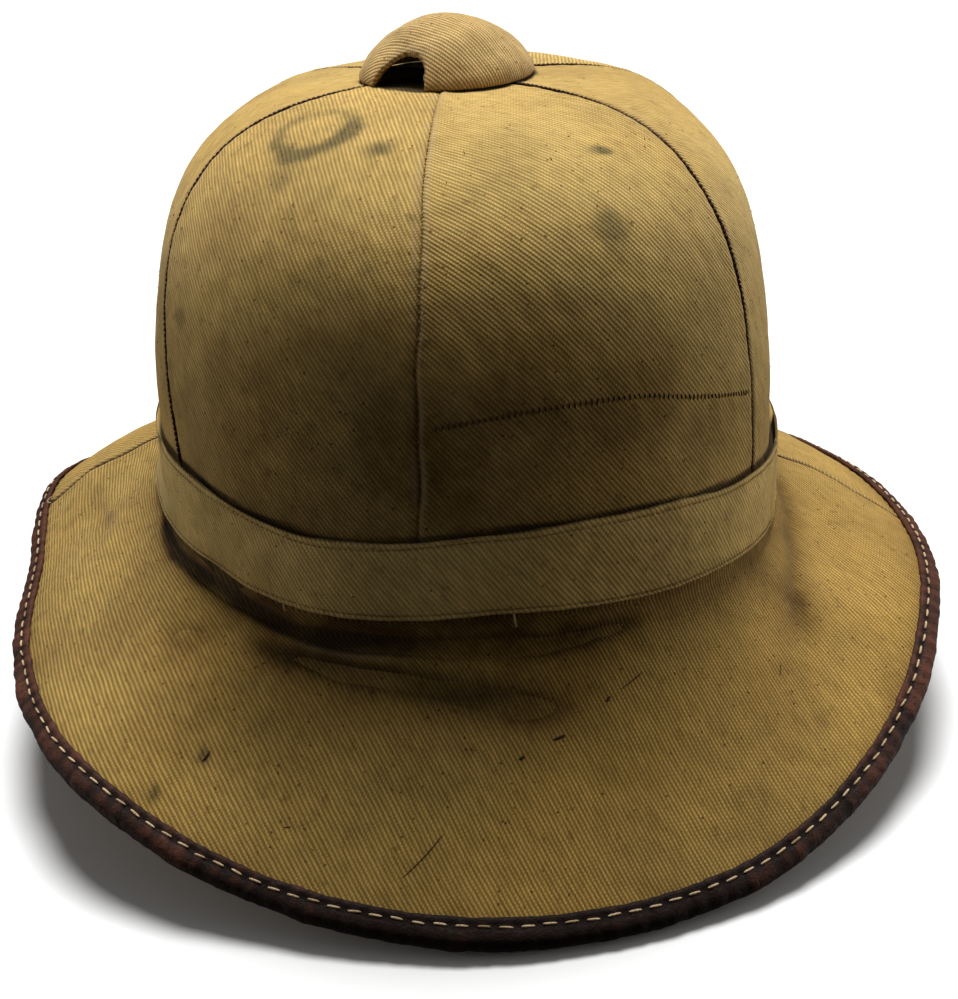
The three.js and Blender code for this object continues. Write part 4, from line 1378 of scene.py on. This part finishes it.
def build_cap():
    """The cloth dome, with an arch cut into its rim at each notch."""
    azimuth = np.linspace(-180, 180, CAP_COLUMNS, endpoint=False)
    arch = np.zeros(CAP_COLUMNS)
    for centre in NOTCH_AZIMUTHS:
        x = np.radians(turn_from(azimuth, centre)) * (CAP_RADIUS - 1)
        arch = np.maximum(arch, notch_height(2 * x / NOTCH_WIDTH))
    arch = arch[:, None]
    still = np.zeros_like(azimuth)
    ragged = 0.12 * ripple(np.stack([azimuth * 0.44, still, still], -1), 1.6, 53)[:, None]
    azimuth = azimuth[:, None]
    t = np.sin(np.linspace(0, 1, CAP_ROWS) * math.pi / 2)[None, :]
    low = (arch + ragged * (arch > 0.5)) / CAP_HEIGHT
    rise = 1 - (1 - low) * t
    radius, height = cap_profile(CAP_RADIUS, CAP_HEIGHT, rise)
    base = in_plan(azimuth, radius, CAP_SEAT + height)
    to_rim = (rise - low) * CAP_HEIGHT
    roll = -0.7 * bell(to_rim, 0.5)
    uneven = unevenness(base, CAP_UNEVEN)
    outer = lifted(base[:, 1:], (roll + uneven)[:, 1:], closed=True)
    outer = np.concatenate([base[:, :1] + (0, 0, 0.1), outer], axis=1)
    t = np.linspace(0, 1, CAP_INSIDE_ROWS)[None, :]
    in_rise = (low + 0.02) + (1 - low - 0.02) * t
    in_radius, in_height = cap_profile(CAP_RADIUS - CAP_WALL + 0.6, CAP_HEIGHT - CAP_WALL + 0.6, in_rise)
    inside = in_plan(azimuth, in_radius, CAP_SEAT + in_height)
    body = np.concatenate([outer, inside], axis=1)

    along = running_length(base)
    angle = np.radians(azimuth)
    flat = weave_of(along * np.cos(angle), -along * np.sin(angle), CAP_RIB_ANGLE)
    weave = np.concatenate([flat, np.repeat(flat[:, -1:], CAP_INSIDE_ROWS, axis=1)], axis=1)
    clean = np.zeros((CAP_COLUMNS, CAP_INSIDE_ROWS))
    soil = 0.45 * bell(to_rim, 2.5) + 0.1 * np.clip(ripple(base, 12, 54), 0, 1)
    # Painted shade: the inside of the dome gets full soil, which darkens it where shade falls.
    soil = np.concatenate([soil, np.ones_like(clean)], axis=1)
    wear = np.concatenate([0.2 * bell(to_rim - 1.2, 1), clean], axis=1)
    stain = 0.5 * bell(turn_from(azimuth, -160), 30) * bell(height - 13, 2.0)
    stain = np.concatenate([stain, clean], axis=1)
    add_turned("cap_cloth", body, cap_twill, "cap_cloth", ["ventilator_cap"],
               weave=weave, soil=np.clip(soil, 0, 1), stain=stain, wear=wear)


def build_notch_fray():
    """Rough reddish thread ends round each notch of the cap."""
    rng = np.random.default_rng(61)
    paths = []
    for centre in NOTCH_AZIMUTHS:
        for x in rng.uniform(-0.97, 0.97, FRAYS_PER_NOTCH):
            azimuth = centre + math.degrees(x * NOTCH_WIDTH / 2 / (CAP_RADIUS - 1))
            rise = (notch_height(x) + rng.uniform(-0.1, 0.25)) / CAP_HEIGHT
            radius, height = cap_profile(CAP_RADIUS, CAP_HEIGHT, rise)
            start = in_plan(azimuth, radius - rng.uniform(0.5, 1.6), CAP_SEAT + height + 0.1)
            drift = rng.normal(scale=0.35, size=3) + (0, 0, -0.45)
            paths.append([start, start + drift * 0.5, start + drift])
    add_strands("notch_fray", paths, 0.1, fray_thread, "cap_cloth", sides=4)


def build_stud():
    """Washer and shank that hold the cap, with eased edges."""
    washer_top = CROWN_TOP - CLOTH_WALL - GAP - CROWN_CORK - GAP
    washer_low = washer_top - STUD_WASHER
    shank_top = CAP_SEAT + CAP_HEIGHT - CAP_WALL - 2 * GAP
    ease = 0.3
    profile = [(0, washer_low), (4, washer_low), (STUD_WASHER_RADIUS - ease, washer_low),
               (STUD_WASHER_RADIUS, washer_low + ease), (STUD_WASHER_RADIUS, washer_top - ease),
               (STUD_WASHER_RADIUS - ease, washer_top), (STUD_RADIUS + 0.5, washer_top),
               (STUD_RADIUS, washer_top + 0.5), (STUD_RADIUS, shank_top - ease),
               (STUD_RADIUS - ease, shank_top), (0, shank_top)]
    radius, z = (np.array(column, float)[None, :] for column in zip(*profile))
    azimuth = np.linspace(0, TURN, 48, endpoint=False)[:, None]
    add_turned("stud_and_washer", in_plan(azimuth, radius, z), steel, "stud_steel", ["cap_stud"])


# Thin scratches and thicker dark flecks on the brim: start and end as azimuth and share.
SCRATCHES = (
    ((-100.5, 0.87), (-96.5, 0.73)),
    ((-74.5, 0.36), (-71, 0.32)),
    ((-113, 0.8), (-112.2, 0.79)),
    ((-52, 0.55), (-50.8, 0.52)),
)
FLECKS = (
    ((-84, 0.48), (-82.5, 0.47)),
    ((-76.8, 0.39), (-76.2, 0.375)),
    ((-88.2, 0.53), (-87.6, 0.52)),
    ((-123.6, 0.68), (-123.9, 0.72)),
)


def surface_path(kind, start, end, lift, bow=0.0, count=8):
    """Points along a line on the brim or the crown, lifted off the cloth."""
    t = np.linspace(0, 1, count)
    a = start[0] + (end[0] - start[0]) * t + bow * np.sin(t * math.pi)
    b = start[1] + (end[1] - start[1]) * t
    if kind == "brim":
        at, normal, _, _ = brim_frame(a, b)
        rise = brim_offset(a, b, at)
    else:
        at, normal, _, _ = crown_frame(a, b)
        rise = unevenness(at, CROWN_UNEVEN)
    return at + normal * (rise + lift)[:, None]


def build_lint():
    """Dark marks and short stray threads that lie on the cloth."""
    rng = np.random.default_rng(71)
    for name, marks, radius, sides in (("scratches", SCRATCHES, 0.12, 5), ("flecks", FLECKS, 0.34, 6)):
        paths = [surface_path("brim", start, end, 0.06, bow=0.08) for start, end in marks]
        add_strands(f"brim_{name}", paths, radius, dark_thread, "brim_cloth", sides)
    hairs = []
    for _ in range(BRIM_STRAYS):
        a, b = rng.uniform(-200, 20), rng.uniform(0.08, 0.94)
        turn, size = rng.uniform(0, 2 * math.pi), rng.uniform(0.25, 0.9)
        end = (a + 0.44 * size * math.cos(turn), b + 0.013 * size * math.sin(turn))
        hairs.append(surface_path("brim", (a, b), end, 0.1, bow=rng.uniform(-0.12, 0.12), count=5))
    for _ in range(CROWN_STRAYS):
        a, z = rng.uniform(-170, -10), rng.uniform(95, 176)
        turn, size = rng.uniform(0, 2 * math.pi), rng.uniform(0.25, 0.8)
        end = (a + 0.6 * size * math.cos(turn), z + size * math.sin(turn))
        hairs.append(surface_path("crown", (a, z), end, 0.1, bow=rng.uniform(-0.2, 0.2), count=5))
    add_strands("stray_threads", hairs, 0.09, dark_thread, "brim_cloth", sides=4)


def build_loose_threads():
    """Pale thread ends: one at the left side seam, and two below the band."""
    at, normal, round_way, out = (v[0] for v in brim_frame(np.array([-194.0]), np.array([0.93])))
    t = np.linspace(0, 1, 10)[:, None]
    curl = at + normal * (0.6 + 2.6 * t * (1 - t)) + round_way * 4.5 * (t - 0.5) + out * 2.2 * np.sin(3 * t)
    paths = [curl]
    for azimuth, drop in ((-87.2, 3.4), (-119.5, 2.2)):
        foot = rim("foot", azimuth)
        start = in_plan(azimuth, wall_radius(azimuth, foot) + 1.6, foot + 0.2)
        fall = start + np.array([0.5, -1.4, -drop]) * t + in_plan(azimuth, 1.0, 0) * np.sin(t * 3) * 0.4
        paths.append(fall)
    add_strands("loose_threads", paths, 0.3, cream_thread, "band_cloth", sides=6)


def build_helmet():
    build_cork()
    for number in range(len(GORE_NAMES)):
        build_gore(number)
    build_cover("rear", BRIM_SEAM_LEFT, BRIM_SEAM_RIGHT, -90)
    build_cover("front", BRIM_SEAM_RIGHT, BRIM_SEAM_LEFT, 90)
    build_band()
    build_binding()
    build_cap()
    build_stud()
    build_crown_stitches()
    build_mend_line()
    build_brim_seam_stitches()
    build_band_stitches()
    build_edge_stitches()
    build_notch_fray()
    build_lint()
    build_loose_threads()


# The floor's half width and how far it lies below the helmet, in metres.
FLOOR_HALF = 6.0
FLOOR_DROP = 0.0002


def build_floor():
    """A pale floor that takes the shadow but throws no light back on the helmet."""
    mesh = bpy.data.meshes.new("floor")
    half = FLOOR_HALF
    corners = [(-half, -half, 0), (half, -half, 0), (half, half, 0), (-half, half, 0)]
    mesh.from_pydata(corners, [], [(0, 1, 2, 3)])
    shader = Shader("pale_floor")
    tone = shader.noise(shader.position(), 3.0, 2.0)
    color = shader.mix(tone, rgb(0.88, 0.88, 0.88), rgb(0.92, 0.92, 0.92))
    mesh.materials.append(shader.finish(color, 0.8))
    floor = bpy.data.objects.new("floor", mesh)
    bpy.context.scene.collection.objects.link(floor)
    floor.location.z = -FLOOR_DROP
    floor.visible_diffuse = False
    floor.visible_glossy = False


def build_lights():
    """A broad lamp above and a little behind, and a dim surround that is brighter at the sides."""
    sky = bpy.data.lights.new("overhead", "SUN")
    sky.energy = LAMP_STRENGTH
    sky.angle = math.radians(LAMP_ANGLE)
    lamp = bpy.data.objects.new("overhead", sky)
    lamp.rotation_euler = Vector(LAMP_DIRECTION).to_track_quat("Z", "Y").to_euler()
    bpy.context.scene.collection.objects.link(lamp)
    world = bpy.data.worlds.new("surround")
    world.use_nodes = True
    nodes = Nodes(world.node_tree)
    x, y, z = nodes.split(nodes.node("TexCoord").outputs["Generated"])
    right = nodes.ramp(x, 0.5, 0.98, 0.0, 1.15)
    left = nodes.ramp(x, -0.5, -0.98, 0.0, 0.62)
    above = nodes.ramp(z, -0.1, 0.9, 0.03, 0.16)
    sides = nodes.times(nodes.plus(right, left), nodes.ramp(z, 0.7, -0.2, 0.6, 1.5))
    total = nodes.plus(sides, above)
    total = nodes.times(total, nodes.ramp(y, -0.75, -0.1, 0.1, 1.0))
    background = nodes.tree.nodes["Background"]
    background.inputs["Color"].default_value = rgb(1.0, 0.98, 0.95)
    nodes.feed(background.inputs["Strength"], total)
    bpy.context.scene.world = world


def build_camera():
    """The camera that was fitted to the photograph."""
    pan, tilt, roll = (math.radians(v) for v in (CAMERA_PAN, CAMERA_TILT, CAMERA_ROLL))
    ahead = Vector((math.sin(pan) * math.cos(tilt), math.cos(pan) * math.cos(tilt), math.sin(tilt)))
    level = ahead.cross(Vector((0, 0, 1))).normalized()
    above = level.cross(ahead)
    right = level * math.cos(roll) + above * math.sin(roll)
    up = above * math.cos(roll) - level * math.sin(roll)
    camera = bpy.data.cameras.new("photo_camera")
    camera.sensor_fit = "VERTICAL"
    camera.sensor_height = SENSOR
    camera.lens = CAMERA_FOCAL_PIXELS / IMAGE_HEIGHT * SENSOR
    camera.clip_start = 0.02
    holder = bpy.data.objects.new("photo_camera", camera)
    turned = Matrix((right, up, -ahead)).transposed().to_4x4()
    holder.matrix_world = Matrix.Translation(Vector(CAMERA_PLACE) * MM) @ turned
    bpy.context.scene.collection.objects.link(holder)
    bpy.context.scene.camera = holder


build_camera()
build_floor()
build_lights()
build_helmet()
bpy.context.scene.view_settings.view_transform = "Standard"
